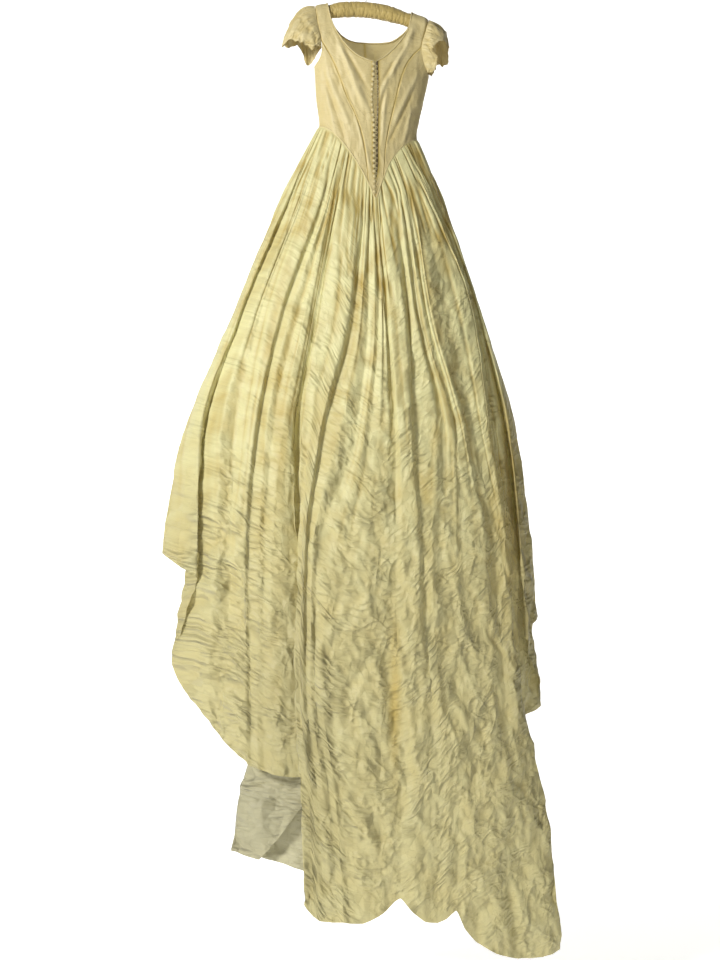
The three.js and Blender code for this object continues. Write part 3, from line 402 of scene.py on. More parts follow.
# round cord along a path; radius may change with the ring and the angle
def cordMesh(name, path, ups, radius, sides, material, closed=False, wearAndShade=(0.1, 0, 0)):
    count = len(path)
    along = unit(stepAlong(path, 0, closed))
    first = unit(ups - along * np.sum(ups * along, axis=1, keepdims=True))
    second = np.cross(along, first)
    angle = 2 * math.pi * np.arange(sides) / sides
    reach = np.broadcast_to(radius(np.arange(count)[:, None], angle[None, :]), (count, sides))
    points = (path[:, None] + first[:, None] * (reach * np.cos(angle))[..., None]
              + second[:, None] * (reach * np.sin(angle))[..., None])
    index = np.arange(count * sides).reshape(count, sides)
    nextRings = np.roll(index, -1, axis=0) if closed else index[1:]
    faces = ringFaces(index if closed else index[:-1], nextRings)
    weave = stack(runAlong(path)[:, None], 4 * angle[None, :], 0)
    return surfaceMesh(
        name, points.reshape(-1, 3), faces, weave.reshape(-1, 3),
        np.broadcast_to(np.array(wearAndShade, float), (count * sides, 3)), material)


pad = {
    "radius": 20, "middleRadius": 23, "halfLength": 190, "heightAtHook": -94, "drop": 54,
    "dropAt": 210, "tilt": 0.087, "gathers": 52, "foldHeight": 1.7, "rings": 420,
}


def padHeight(x):
    return pad["heightAtHook"] - pad["drop"] * (x / pad["dropAt"]) ** 2 - pad["tilt"] * x


def padRise(x):
    return np.sqrt(1 + (-2 * pad["drop"] * x / pad["dropAt"] ** 2 - pad["tilt"]) ** 2)


# bodice by how far below the shoulder: centre, half width, depth behind and in front
bodiceSections = [
    [0, 16, 700, 26, 26],
    [26, 16, 640, 26, 26],
    [60, 16, 400, 33, 34],
    [100, 17, 290, 45, 48],
    [145, 17, 222, 54, 63],
    [182, 17, 184, 59, 71],
    [205, 17, 173, 61, 75],
    [225, 17, 172, 62, 76],
    [295, 12, 163, 61, 72],
    [367, 9, 151, 58, 64],
    [400, 6, 148, 57, 60],
    [450, 6, 153, 60, 62],
    [520, 6, 166, 68, 70],
    [600, 6, 184, 79, 82],
    [700, 6, 205, 88, 92],
]
bodyCentre, bodyHalfWidth, backDepth, frontDepth = (
    through([[row[0], row[k]] for row in bodiceSections]) for k in (1, 2, 3, 4))
padQuarter = shoulderRadius * math.pi / 2


def heightDown(x, down):
    run = np.abs(down)
    above = np.where(
        run < padQuarter, shoulderRadius * np.cos(run / shoulderRadius) * padRise(x),
        padQuarter - run)
    fade = np.where(above > 0, 1, 1 - ease(0, 170, -above))
    return pad["heightAtHook"] + (padHeight(x) - pad["heightAtHook"]) * fade + above


def belowShoulder(down):
    run = np.abs(down)
    return np.where(
        run < padQuarter, shoulderRadius * (1 - np.cos(run / shoulderRadius)),
        shoulderRadius + run - padQuarter)


# point of the body: turn is the angle from the middle, down the run from the shoulder seam
def bodyPoint(isFront, turn, down):
    below = belowShoulder(down)
    run = np.abs(down)
    table = frontDepth if isFront else backDepth
    depth = np.where(run < padQuarter, shoulderRadius * np.sin(run / shoulderRadius), table(below))
    x = bodyCentre(below) + bodyHalfWidth(below) * np.sin(turn)
    y = (1 if isFront else -1) * np.where(down < 0, -1, 1) * depth * np.cos(turn)
    return toDepth(x, y, heightDown(x, down))


# where a point of the outline lies on the body, as turn and down
def onBody(x, z):
    x, z = np.broadcast_arrays(np.asarray(x, float), np.asarray(z, float))
    low, high = np.zeros(x.shape), np.full(x.shape, 760.0)
    for _ in range(34):
        middle = (low + high) / 2
        isAbove = heightDown(x, middle) > z
        low, high = np.where(isAbove, middle, low), np.where(isAbove, high, middle)
    below = belowShoulder(low)
    return np.arcsin(np.clip((x - bodyCentre(below)) / bodyHalfWidth(below), -1, 1)), low


def normalOnBody(isFront, turn, down):
    below = bodyPoint(isFront, turn, down + 0.5) - bodyPoint(isFront, turn, down - 0.5)
    across = bodyPoint(isFront, turn + 0.004, down) - bodyPoint(isFront, turn - 0.004, down)
    return unit(np.cross(below, across)) * (-1 if isFront else 1)


# listed creases: from x, z to x, z on the outline, half width, height out of the cloth
def creaseHeight(creases, x, z):
    height = np.zeros(np.shape(x))
    for fromX, fromZ, toX, toZ, halfWidth, rise in creases:
        runX, runZ = toX - fromX, toZ - fromZ
        share = ((x - fromX) * runX + (z - fromZ) * runZ) / (runX**2 + runZ**2)
        offX, offZ = x - mix(fromX, toX, share), z - mix(fromZ, toZ, share)
        fade = ease(-0.15, 0.2, share) * (1 - ease(0.8, 1.15, share))
        height += rise * fade * np.exp(-(offX**2 + offZ**2) / halfWidth**2)
    return height


def shoulderTop(x):
    return [x, float(padHeight(x) + shoulderRadius * padRise(x))]


armTopLeft, neckTopLeft, neckTopRight, armTopRight = (
    shoulderTop(x) for x in (-153, -117, 138, 187))
waistBack = [
    [-141, -445], [-114, -454], [-84, -478], [-54, -514], [-27, -553], [-6, -589], [14, -630],
    [29, -660], [44, -622], [57, -589], [69, -559], [84, -535], [105, -511], [129, -493],
    [153, -484],
]
waistFront = [
    [-141, -445], [-112, -462], [-78, -490], [-40, -527], [6, -566], [54, -538], [94, -507],
    [126, -489], [153, -484],
]
waistBackHeight = through(waistBack)
waistFrontHeight = through(waistFront)
seams = {
    "shoulderLeft": [armTopLeft, neckTopLeft],
    "shoulderRight": [neckTopRight, armTopRight],
    "armLeftUpper": [armTopLeft, [-146, -130], [-133, -190]],
    "armLeftLower": [[-133, -190], [-133, -226], [-142, -250], [-156, -268]],
    "armRightUpper": [armTopRight, [179, -156], [165, -211]],
    "armRightLower": [[165, -211], [169, -244], [178, -274], [189, -294]],
    "neckBackLeft": [
        neckTopLeft, [-102, -133], [-84, -169], [-60, -202], [-27, -232], [6, -248], [27, -253]],
    "neckBackRight": [
        neckTopRight, [127, -154], [105, -190], [78, -220], [54, -240], [29, -253]],
    "neckFrontLeft": [neckTopLeft, [-97, -135], [-69, -169], [-39, -184], [-5, -188]],
    "neckFrontRight": [
        neckTopRight, [127, -142], [105, -166], [75, -184], [30, -189], [-5, -188]],
    "frontMiddle": [[-5, -188], [2, -300], [5, -430], [6, float(waistFrontHeight(6))]],
    "closingLeft": [
        [27, -253], [26, -296], [22, -336], [21, -372], [25, -412], [28, -454], [28, -544],
        [29, -619], [29, -660]],
    "closingRight": [
        [29, -253], [33, -304], [34, -372], [31, -440], [30, -544], [30, -619], [29, -660]],
    "princessLeft": [
        [-133, -190], [-102, -244], [-81, -292], [-57, -358], [-33, -409], [-15, -460],
        [-5, -505], [2, -560], [8, float(waistBackHeight(8))]],
    "princessRight": [
        [165, -211], [141, -235], [120, -265], [105, -304], [93, -349], [81, -400], [70, -445],
        [61, -493], [56, -545], [53, float(waistBackHeight(53))]],
    "frontSeamLeft": [
        [-133, -190], [-112, -250], [-96, -310], [-84, -380], [-72, -440],
        [-62, float(waistFrontHeight(-62))]],
    "frontSeamRight": [
        [165, -211], [146, -262], [128, -320], [112, -390], [98, -450],
        [88, float(waistFrontHeight(88))]],
    "sideLeft": [[-156, -268], [-150, -340], [-142, -420], [-141, -445]],
    "sideRight": [[189, -294], [176, -360], [160, -432], [153, -484]],
}
for seam, height, fromX, toX in (
        ("waistSideLeft", waistBackHeight, -141, 8), ("waistLeft", waistBackHeight, 8, 29),
        ("waistRight", waistBackHeight, 29, 53), ("waistSideRight", waistBackHeight, 53, 153),
        ("frontSideLeft", waistFrontHeight, -141, -62), ("frontLeft", waistFrontHeight, -62, 6),
        ("frontRight", waistFrontHeight, 6, 88), ("frontSideRight", waistFrontHeight, 88, 153)):
    seams[seam] = [[x, float(height(x))] for x in np.linspace(fromX, toX, 9)]

# what the hanging weight draws in the bodice, as creases; then its seams and its own unevenness
bodiceCloth = {
    "drag": [
        [-78, -205, -8, -392, 7, 6.0], [-100, -262, -24, -430, 6, -4.8],
        [-60, -225, 4, -340, 6, -3.0], [-48, -262, 12, -420, 6, 2.8],
        [-112, -300, -44, -462, 8, 3.4], [-124, -300, -60, -500, 6, -2.6],
        [-118, -345, -92, -470, 6, 2.6], [-30, -420, 14, -585, 6, 2.4],
        [142, -160, 74, -300, 8, 5.6], [124, -196, 50, -320, 6, -4.6],
        [100, -230, 38, -372, 8, 3.8], [80, -262, 36, -430, 6, -2.8],
        [150, -300, 84, -440, 8, 3.4], [138, -350, 70, -500, 6, -2.8],
        [64, -300, 44, -520, 6, 2.4], [134, -400, 112, -500, 6, 2.4],
    ],
    "seamGroove": 1.6, "grooveWidth": 2.2, "pucker": 0.8, "puckerWidth": 14,
    "crumple": 0.9, "crumpleSize": (26, 40), "threadSize": (9, 60),
    "waistInset": 1.7, "columnsPerStep": 9,
}
# painted shadow in the open closing, dark between its buttons and loops, down to where it is sewn up
closingShadow = {"at": 29, "halfWidth": 8.5, "strength": 2.8, "from": -625, "full": -560}
neckLines = ("neckBackLeft", "neckBackRight", "neckFrontLeft", "neckFrontRight")


# an edge is a list of [line, steps]; cloth is crowded where a neck line bends over the pad
def edgePoints(parts):
    finer = bodiceCloth["columnsPerStep"]
    pairs = []
    for i, (line, steps) in enumerate(parts):
        isReversed = line.startswith("-")
        line = line.lstrip("-")
        shares = np.linspace(0, 1, steps * finer + 1)
        points = seams[line][::-1] if isReversed else seams[line]
        pairs.append(spaced(points, shares**1.6 if line in neckLines else shares)[i > 0:])
    return np.concatenate(pairs)


def bodicePiece(
        name, isFront, top, bottom, left, right, sideLeft=False, sideRight=False):
    edges = [np.stack(onBody(*edgePoints(parts).T), axis=-1) for parts in (top, bottom, left, right)]
    topEdge, bottomEdge, leftEdge, rightEdge = edges
    for isSide, edge, corner, turn in (
            (sideLeft, leftEdge, 0, -math.pi / 2), (sideRight, rightEdge, -1, math.pi / 2)):
        if isSide:
            edge[:, 0] = turn
            topEdge[corner, 0] = bottomEdge[corner, 0] = turn
    u = np.linspace(0, 1, len(topEdge))[None, :, None]
    v = np.linspace(0, 1, len(leftEdge))[:, None, None]
    pairs = (mix(topEdge[None], bottomEdge[None], v) + mix(leftEdge[:, None], rightEdge[:, None], u)
             - mix(mix(topEdge[0], topEdge[-1], u), mix(bottomEdge[0], bottomEdge[-1], u), v))
    if isFront:
        pairs = pairs[:, ::-1]
    turn, down = pairs[..., 0], pairs[..., 1]
    grid = bodyPoint(isFront, turn, down)
    normals = normalOnBody(isFront, turn, down)
    across = runAlong(grid, 1)
    toSeam = np.minimum(across, across[:, -1:] - across)
    x, z = grid[..., 0], grid[..., 2]
    seed = sum(map(ord, name)) % 50
    height = 0 if isFront else creaseHeight(bodiceCloth["drag"], x, z) * ease(0, 14, toSeam)
    groove = np.exp(-(toSeam / bodiceCloth["grooveWidth"]) ** 2)
    height = height - bodiceCloth["seamGroove"] * groove
    pull = noise(z / 9, toSeam / 16, seed) * np.exp(-toSeam / bodiceCloth["puckerWidth"])
    height = height + bodiceCloth["pucker"] * pull * ease(0, 3, toSeam)
    (wide, high), (threadWide, threadHigh) = bodiceCloth["crumpleSize"], bodiceCloth["threadSize"]
    soft = crumple(x / wide, z / high, seed + 5)
    soft = soft + 0.5 * noise(x / threadWide, z / threadHigh, seed + 9)
    height = height + bodiceCloth["crumple"] * soft * ease(0, 6, toSeam)
    grid = grid + normals * height[..., None]

    # the lower edge is drawn up a little, behind the waist piping
    lastStep = grid[-1] - grid[-2]
    shortest = float(np.linalg.norm(lastStep, axis=-1).min())
    grid[-1] -= unit(lastStep) * min(bodiceCloth["waistInset"], 0.6 * shortest)
    weave = stack(across - across[:, -1:] / 2, down, seed)
    # painted golden shade in the crease troughs and along the seams
    tint = 0.5 * np.clip(0.4 - height * 0.16, 0, 1) + 0.5 * np.exp(-(toSeam / 4) ** 2)
    # painted dark brown shadow in the open gap of the closing
    if not isFront:
        fromMiddle = (x - closingShadow["at"]) / closingShadow["halfWidth"]
        isOpen = ease(closingShadow["from"], closingShadow["full"], z)
        tint = tint + closingShadow["strength"] * np.exp(-fromMiddle**2) * isOpen
    material = frontSilk if isFront else bodiceSilk
    piece = finish(sheetMesh(name, grid, weave, stack(tint, 0.0, 0.8), material))


bodicePiece(
    "bodice_back_left", False, [["shoulderLeft", 4]], [["waistLeft", 4]],
    [["armLeftUpper", 7], ["princessLeft", 12]], [["neckBackLeft", 10], ["closingLeft", 9]])
bodicePiece(
    "bodice_back_right", False, [["shoulderRight", 4]], [["waistRight", 4]],
    [["neckBackRight", 10], ["closingRight", 9]], [["armRightUpper", 7], ["princessRight", 12]])
bodicePiece(
    "bodice_side_left", False, [["-armLeftLower", 12]], [["waistSideLeft", 12]],
    [["sideLeft", 12]], [["princessLeft", 12]], sideLeft=True)
bodicePiece(
    "bodice_side_right", False, [["armRightLower", 10]], [["waistSideRight", 10]],
    [["princessRight", 12]], [["sideRight", 12]], sideRight=True)
bodicePiece(
    "bodice_front_left", True, [["shoulderLeft", 4]], [["frontLeft", 4]],
    [["armLeftUpper", 7], ["frontSeamLeft", 12]], [["neckFrontLeft", 9], ["frontMiddle", 10]])
bodicePiece(
    "bodice_front_right", True, [["shoulderRight", 4]], [["frontRight", 4]],
    [["neckFrontRight", 9], ["frontMiddle", 10]], [["armRightUpper", 7], ["frontSeamRight", 12]])
bodicePiece(
    "bodice_side_front_left", True, [["-armLeftLower", 6]], [["frontSideLeft", 6]],
    [["sideLeft", 12]], [["frontSeamLeft", 12]], sideLeft=True)
bodicePiece(
    "bodice_side_front_right", True, [["armRightLower", 5]], [["frontSideRight", 5]],
    [["frontSeamRight", 12]], [["sideRight", 12]], sideRight=True)
print("bodice made")


def bodyCord(runs):
    path, ups = [], []
    for isFront, pairs in runs:
        turn, down = onBody(*np.array(pairs).T)
        normal = normalOnBody(isFront, turn, down)
        path.append(bodyPoint(isFront, turn, down) - normal * clothWall / 2)
        ups.append(normal)
    return np.concatenate(path), unit(np.concatenate(ups))


# rolled edge of the neck and the piped waist seam: cords of folded silk with a faint twist
cords = {"neckRadius": 1.9, "waistRadius": 1.7, "twist": 0.12}


def alongSeam(line, count, isReversed=False):
    shares = np.linspace(0, 1, count)
    pairs = spaced(seams[line], shares**1.6 if line in neckLines else shares)
    return pairs[::-1] if isReversed else pairs


def twisted(radius):
    return lambda ring, angle: radius * (1 + cords["twist"] * np.sin(2 * angle + ring * 0.7))


neckPath, neckUps = bodyCord([
    [False, alongSeam("neckBackRight", 90, True)[1:-1]],
    [True, alongSeam("neckFrontRight", 80)],
    [True, alongSeam("neckFrontLeft", 80, True)[1:]],
    [False, alongSeam("neckBackLeft", 90)[1:-1]],
])
finish(cordMesh(
    "neck_binding", neckPath, neckUps, twisted(cords["neckRadius"]), 10, bodiceSilk))
waistPath, waistUps = bodyCord([
    [False, np.concatenate([alongSeam(line, 60)[:-1] for line in (
        "waistSideLeft", "waistLeft", "waistRight", "waistSideRight")])],
    [True, np.concatenate([alongSeam(line, 50, True)[:-1] for line in (
        "frontSideRight", "frontRight", "frontLeft", "frontSideLeft")])],
])
finish(cordMesh(
    "waist_piping", waistPath, waistUps, twisted(cords["waistRadius"]), 10, bodiceSilk,
    closed=True))

# covered buttons: a low dome with the silk drawn under its edge, and a loop of cord round each
closing = {
    "count": 26, "radius": 4.6, "height": 3.4, "sides": 20, "aboveWaist": 0.975,
    "cord": 0.8, "loopReach": 1.2, "loopHalfWidth": 5.4, "loopSeat": 3.0,
}
buttonShares = (2 * np.arange(closing["count"]) + 1) / (2 * closing["count"]) * closing["aboveWaist"]


def outsideBody(x, z, lift):
    turn, down = onBody(x, z)
    normal = normalOnBody(False, turn, down)
    point = bodyPoint(False, turn, down)
    drag = np.maximum(0, creaseHeight(bodiceCloth["drag"], point[..., 0], point[..., 2]))
    return point + normal * (lift + drag)[..., None], normal


def domePoints():
    profile = np.array([
        [0.6, 0], [0.72, 0], [0.93, 0.08], [1, 0.26], [0.98, 0.42], [0.88, 0.62], [0.7, 0.8],
        [0.45, 0.94], [0.2, 0.99], [0.02, 1.0]])
    angle = 2 * math.pi * np.arange(closing["sides"]) / closing["sides"]
    drawnIn = 1 + 0.02 * np.cos(5 * angle) * (profile[:, 1:] < 0.5)
    reach = profile[:, :1] * closing["radius"]
    return stack(
        reach * np.cos(angle) * drawnIn, reach * np.sin(angle) * drawnIn,
        profile[:, 1:] * closing["height"])


dome = domePoints()
domeIndex = np.arange(dome.size // 3).reshape(len(dome), closing["sides"])
domeFaces = ringFaces(domeIndex[:-1], domeIndex[1:])
buttonPairs = spaced(seams["closingLeft"], buttonShares)
buttonSeats, buttonNormals = outsideBody(
    buttonPairs[:, 0] - closing["radius"] * 0.75, buttonPairs[:, 1], 0.5 + np.zeros(closing["count"]))
for i in range(closing["count"]):
    button = surfaceMesh(
        f"button_{i + 1:02d}", dome.reshape(-1, 3), domeFaces,
        dome.reshape(-1, 3) + i * 7, np.tile([0.1, 0, 0.3], (dome.size // 3, 1)), bodiceSilk)
    button.rotation_mode = "QUATERNION"
    button.rotation_quaternion = Vector((0, 0, 1)).rotation_difference(Vector(buttonNormals[i]))
    button.location = Vector(buttonSeats[i] * mm)
    finish(button)

# the cord leaves the right edge, rounds each button's far side and comes back
loopAngles = np.linspace(0.5 * math.pi, 1.5 * math.pi, 13)
loopX, loopZ, loopLift = [], [], []
for i, (x, z) in enumerate(buttonPairs):
    middle = x - closing["radius"] * 0.75
    seat = float(spaced(seams["closingRight"], [buttonShares[i]])[0, 0]) + closing["loopSeat"]
    reach = closing["radius"] + closing["loopReach"]
    halfWidth = closing["loopHalfWidth"]
    loopX += [seat, *(middle + reach * 0.9 * np.cos(loopAngles)), seat]
    loopZ += [z + halfWidth, *(z + reach * np.sin(loopAngles)), z - halfWidth]
    loopLift += [1.2, *(1.6 + 0 * loopAngles), 1.2]
loopPath, loopUps = outsideBody(np.array(loopX), np.array(loopZ), np.array(loopLift))
loopPlaces = np.linspace(0, len(loopPath) - 1, 3 * len(loopPath))
loopPath, loopUps = curveAt(loopPath, loopPlaces), unit(curveAt(loopUps, loopPlaces))
finish(cordMesh(
    "button_loop_cord", loopPath, loopUps, lambda ring, angle: closing["cord"] + 0 * angle, 6,
    bodiceSilk))
print("cords and buttons made")

# cap sleeves: gathered at the armhole, fluttering to an uneven turned hem
sleeve = {
    "gap": 1.0, "columnsPerRib": 16, "rows": 46, "gather": 2.4, "gatherSpacing": 11.0,
    "crumple": 2.6, "crumpleSize": (24, 30), "hemFlutter": 4.0, "flutterSize": 15,
    "hemScallop": 3.5, "scallopSize": 9, "hemFold": 9.0, "hemStitch": 0.8,
}
# rib by rib from the back underarm over the shoulder: side, height at the armhole, bulge, hem
leftRibs = [
    ["back", -206, -139, -46, -207, -143, -45, -209],
    ["back", -190, -145, -50, -197, -152, -49, -206],
    ["back", -170, -152, -54, -190, -163, -53, -221],
    ["back", -152, -169, -51, -168, -184, -48, -201],
    ["back", -132, -188, -46, -142, -204, -44, -194],
    ["back", -112, -204, -41, -112, -228, -34, -188],
    ["back", -96, -218, -26, -90, -251, -16, -210],
    ["top", -82, -222, 0, -76, -247, 6, -196],
    ["front", -96, -212, 28, -92, -236, 26, -204],
    ["front", -132, -186, 46, -142, -204, 42, -198],
    ["front", -166, -162, 56, -196, -176, 54, -254],
    ["front", -202, -142, 52, -212, -146, 49, -220],
]
rightRibs = [
    ["back", -284, 193, -20, -286, 196, -20, -288],
    ["back", -268, 198, -38, -270, 207, -36, -270],
    ["back", -248, 201, -46, -250, 215, -44, -247],
    ["back", -228, 194, -54, -230, 205, -54, -231],
    ["back", -210, 189, -58, -211, 198, -56, -214],
    ["back", -190, 196, -57, -190, 207, -52, -202],
    ["back", -166, 208, -51, -166, 228, -44, -193],
    ["back", -142, 224, -39, -142, 248, -22, -204],
    ["top", -122, 241, 0, -134, 250, 4, -220],
    ["front", -142, 224, 38, -150, 247, 24, -246],
    ["front", -168, 208, 50, -196, 232, 40, -258],
    ["front", -208, 192, 54, -236, 216, 46, -252],
    ["front", -246, 196, 46, -256, 208, 38, -268],
    ["front", -280, 194, 24, -284, 198, 24, -288],
]


def sleevePiece(name, ribs, isLeft):
    side = -1 if isLeft else 1
    word = "Left" if isLeft else "Right"
    armhole = seams[f"arm{word}Upper"] + seams[f"arm{word}Lower"][1:]
    armAcross = through([[z, x] for x, z in armhole[::-1]])
    arms, bulges, hems = [], [], []
    for ribSide, armZ, bulgeX, bulgeY, bulgeZ, hemX, hemY, hemZ in ribs:
        seamTurn, seamDown = onBody(armAcross(armZ), armZ)
        down = 0.0 if ribSide == "top" else float(seamDown)
        turn = seamTurn + side * sleeve["gap"] / bodyHalfWidth(shoulderRadius + down - padQuarter)
        arms.append(bodyPoint(ribSide == "front", turn, np.float64(down)))
        bulges.append(toDepth(bulgeX, bulgeY, bulgeZ))
        hems.append(toDepth(hemX, hemY, hemZ))
    places = np.linspace(0, len(ribs) - 1, (len(ribs) - 1) * sleeve["columnsPerRib"] + 1)
    arm, bulge, hem = (curveAt(np.array(rows), places, even=True) for rows in (arms, bulges, hems))
    v = np.linspace(0, 1, sleeve["rows"])[:, None, None]
    grid = arm * (1 - v) ** 2 + bulge * 2 * v * (1 - v) + hem * v**2
    if isLeft:
        grid = grid[:, ::-1]
    normals = gridNormals(grid)
    v = v[..., 0]
    seed = 31 if isLeft else 63
    run, down = runAlong(grid, 1), runAlong(grid, 0)
    column = run[len(run) // 2][None, :]
    gathers = pleat(column / sleeve["gatherSpacing"], v * 1.2, seed)
    height = sleeve["gather"] * gathers * ease(0, 0.12, v) * (1 - 0.6 * ease(0.25, 0.8, v))
    wide, high = sleeve["crumpleSize"]
    crumples = crumple(run / wide, down / high, seed + 2)
    height = height + sleeve["crumple"] * crumples * ease(0.05, 0.4, v)
    flutter = noise(column / sleeve["flutterSize"], v * 0.8, seed + 4)
    height = height + sleeve["hemFlutter"] * flutter * ease(0.5, 1, v)
    fromStitch = down[-1:] - down - sleeve["hemFold"]
    height = height - sleeve["hemStitch"] * np.exp(-((fromStitch / 1.6) ** 2))
    height = height * ease(0, 0.05, v)
    scallop = noise(column / sleeve["scallopSize"], 0 * v, seed + 6) * ease(0.6, 1, v)
    scallop = sleeve["hemScallop"] * scallop
    toHem = unit(np.gradient(grid, axis=0))
    grid = grid + normals * height[..., None] + toHem * scallop[..., None]
    # painted golden shade in the troughs of the gathers and crumples
    wearAndShade = stack(np.clip(0.4 - height * 0.14, 0, 1) * 0.6, 0.0, 0.9)
    piece = finish(sheetMesh(name, grid, stack(run, down, seed), wearAndShade, bodiceSilk))


sleevePiece("sleeve_left", leftRibs, True)
sleevePiece("sleeve_right", rightRibs, False)
print("sleeves made")

levels = [-660, -1020, -1380, -1740, -2100, -2460, -2820]
# Fold lines of the skirt, left to right along the cloth; a line that goes back left lies behind.
# name, across at the waist, across at each level, relief at -1000, -1600 and -2500, hem height
foldLines = [
    ["sideSeamLeft", -141, -255, -405, -549, -615, -621, -621, -621, 0, 0, 0, -1726],
    ["flapCrest", -138, -243, -393, -519, -567, -579, -579, -579, -5, -14, -14, -1756],
    ["flapEdge", -134, -233, -383, -497, -504, -510, -510, -510, -6, -16, -18, -1795],
    ["flankEdge", -130, -225, -375, -486, -530, -579, -579, -579, 12, 44, 40, -2056],
    ["flankValley", -126, -217, -367, -476, -486, -507, -507, -507, 12, 38, 26, -2170],
    ["flankRidge", -122, -200, -342, -435, -447, -465, -471, -471, -5, -12, -6, -2230],
    ["goldValley", -116, -186, -318, -387, -408, -417, -423, -423, 5, 12, 10, -2290],
    ["panelLeft", -106, -168, -288, -357, -393, -387, -387, -387, -6, -14, -8, -2326],
    ["panelRight", -88, -136, -261, -336, -363, -357, -357, -357, -8, -18, -8, -2350],
    ["panelDrop", -80, -122, -249, -324, -351, -345, -345, -345, 7, 18, 8, -2359],
    ["softRidge", -75, -113, -228, -300, -321, -324, -324, -324, -3, -7, -4, -2368],
    ["softValley", -71, -107, -207, -282, -303, -306, -306, -306, 4, 9, 5, -2374],
    ["innerRidge", -67, -102, -186, -252, -282, -285, -285, -285, -4, -10, -8, -2383],
    ["innerSlope", -64, -98, -172, -236, -261, -258, -258, -258, -1, -5, -4, -2389],
    ["deepValley", -61, -94, -162, -223, -234, -234, -225, -225, 5, 14, 16, -2392],
    ["tuckInner", -59, -91, -158, -217, -201, -171, -135, -135, 6, 20, 30, -2392],
    ["underFold", -57, -88, -154, -212, -219, -255, -309, -327, 7, 34, 75, -2638],
    ["underEdge", -55, -85, -150, -208, -225, -291, -375, -453, 9, 44, 92, -2608],
    ["underReturn", -53, -82, -147, -204, -210, -225, -234, -255, 9, 50, 110, -2650],
    ["tuckOuter", -51, -79, -144, -200, -192, -120, -75, -75, 6, 40, 60, -2716],
    ["trainEdge", -48, -76, -140, -194, -204, -212, -194, -182, -2, -4, -25, -2773],
    ["broadLeft", -38, -60, -99, -170, -192, -198, -171, -154, -5, -10, -24, -2809],
    ["broadRight", -8, -16, -57, -141, -184, -189, -158, -138, -8, -20, -20, -2821],
    ["broadDrop", 0, -6, -39, -129, -176, -178, -144, -120, 8, 18, -10, -2824],
    ["slantRidge", 7, 4, -15, -84, -162, -165, -126, -102, -5, -14, -16, -2827],
    ["slantValley", 13, 11, 6, -33, -147, -152, -108, -84, 6, 16, -6, -2827],
    ["lowRidge", 19, 18, 27, -9, -99, -135, -90, -66, -4, -8, -20, -2827],
    ["lowValley", 24, 25, 38, 9, -54, -108, -72, -48, 3, 6, -2, -2830],
    ["middleRidge", 28, 32, 48, 39, -3, -45, -30, -9, -3, -6, -14, -2830],
    ["middleSlope", 32, 41, 56, 69, 48, 30, 42, 54, 0, 0, -4, -2800],
    ["centreSeam", 36, 48, 63, 88, 88, 96, 106, 102, 6, 14, 14, -2755],
    ["streamLeft", 40, 56, 74, 99, 112, 129, 147, 141, -6, -14, -16, -2797],
    ["streamRight", 48, 72, 115, 136, 157, 168, 189, 177, -9, -20, -13, -2824],
    ["streamDrop", 53, 81, 128, 148, 170, 189, 219, 213, 8, 20, 10, -2827],
    ["splitRidge", 60, 93, 147, 210, 198, 216, 249, 243, -4, -10, -8, -2815],
    ["splitValley", 66, 104, 159, 231, 219, 240, 276, 270, 5, 12, 6, -2791],
    ["kneeRidge", 72, 114, 171, 255, 273, 288, 303, 294, -3, -8, -10, -2842],
    ["kneeValley", 78, 123, 182, 270, 290, 318, 327, 333, 4, 10, 8, -2887],
    ["longRidge", 87, 138, 201, 297, 360, 384, 396, 390, -7, -18, -10, -2920],
    ["brownValley", 94, 153, 249, 327, 381, 408, 441, 459, 8, 22, 10, -2935],
    ["shoulderRidge", 102, 171, 291, 351, 402, 426, 489, 528, -2, -4, -4, -2929],
    ["trainEdgeRight", 112, 189, 322, 369, 422, 444, 534, 578, -5, -14, -10, -2905],
    ["tuckRight", 120, 197, 329, 380, 429, 414, 465, 495, 4, 14, 40, -2434],
    ["rearPanel", 129, 205, 335, 402, 446, 465, 471, 471, 5, 20, 46, -2221],
    ["rearEdge", 138, 213, 341, 421, 460, 518, 540, 540, 10, 72, 60, -2182],
    ["stripEdge", 145, 221, 346, 430, 464, 483, 483, 483, -1, -2, -4, -1978],
    ["sideSeamRight", 153, 229, 351, 456, 498, 528, 528, 528, 0, 0, 0, -1912],
]
# fullness of the skirt by height: middle, half width, depth behind and in front
domeSections = [
    [-2820, 20, 700, 270, 200],
    [-2460, -20, 640, 260, 200],
    [-2100, -46, 590, 240, 200],
    [-1740, -58, 558, 210, 190],
    [-1380, -46, 503, 170, 165],
    [-1020, -27, 379, 125, 130],
    [-660, -13, 243, 84, 90],
    [-440, 2, 152, 60, 62],
]
domeMiddle, domeHalfWidth, domeBack, domeFront = (
    through([[row[0], row[k]] for row in domeSections]) for k in (1, 2, 3, 4))
frontFolds = 21
waistEnds = (-141, 153)


def foldAcross(row):
    topHeight = float(waistBackHeight(row[1]))
    lower = [[level, row[2 + i]] for i, level in enumerate(levels) if level < topHeight - 60]
    return through([[topHeight, row[1]], *lower][::-1])


sideSeamAcross = [foldAcross(foldLines[0]), foldAcross(foldLines[-1])]


def domeDepth(x, z):
    left, right = (across(z) for across in sideSeamAcross)
    low = ease(-1740, -2100, z)
    middle = mix((left + right) / 2, domeMiddle(z), low)
    share = np.clip((x - middle) / mix((right - left) / 2, domeHalfWidth(z), low), -1, 1)
    return -domeBack(z) * (1 - share**2) ** 0.6


# points down one fold line, at shares of its height from the waist to the hem
def foldPoints(topHeight, hem, isFront, across, depth, shares):
    z = mix(topHeight, hem, shares)
    turn, down = onBody(across(topHeight), topHeight)
    atWaist = float(bodyPoint(isFront, turn, down)[1])
    y = mix(atWaist, depth(z), ease(0, 160, topHeight - z))
    return toDepth(across(z), y, z)


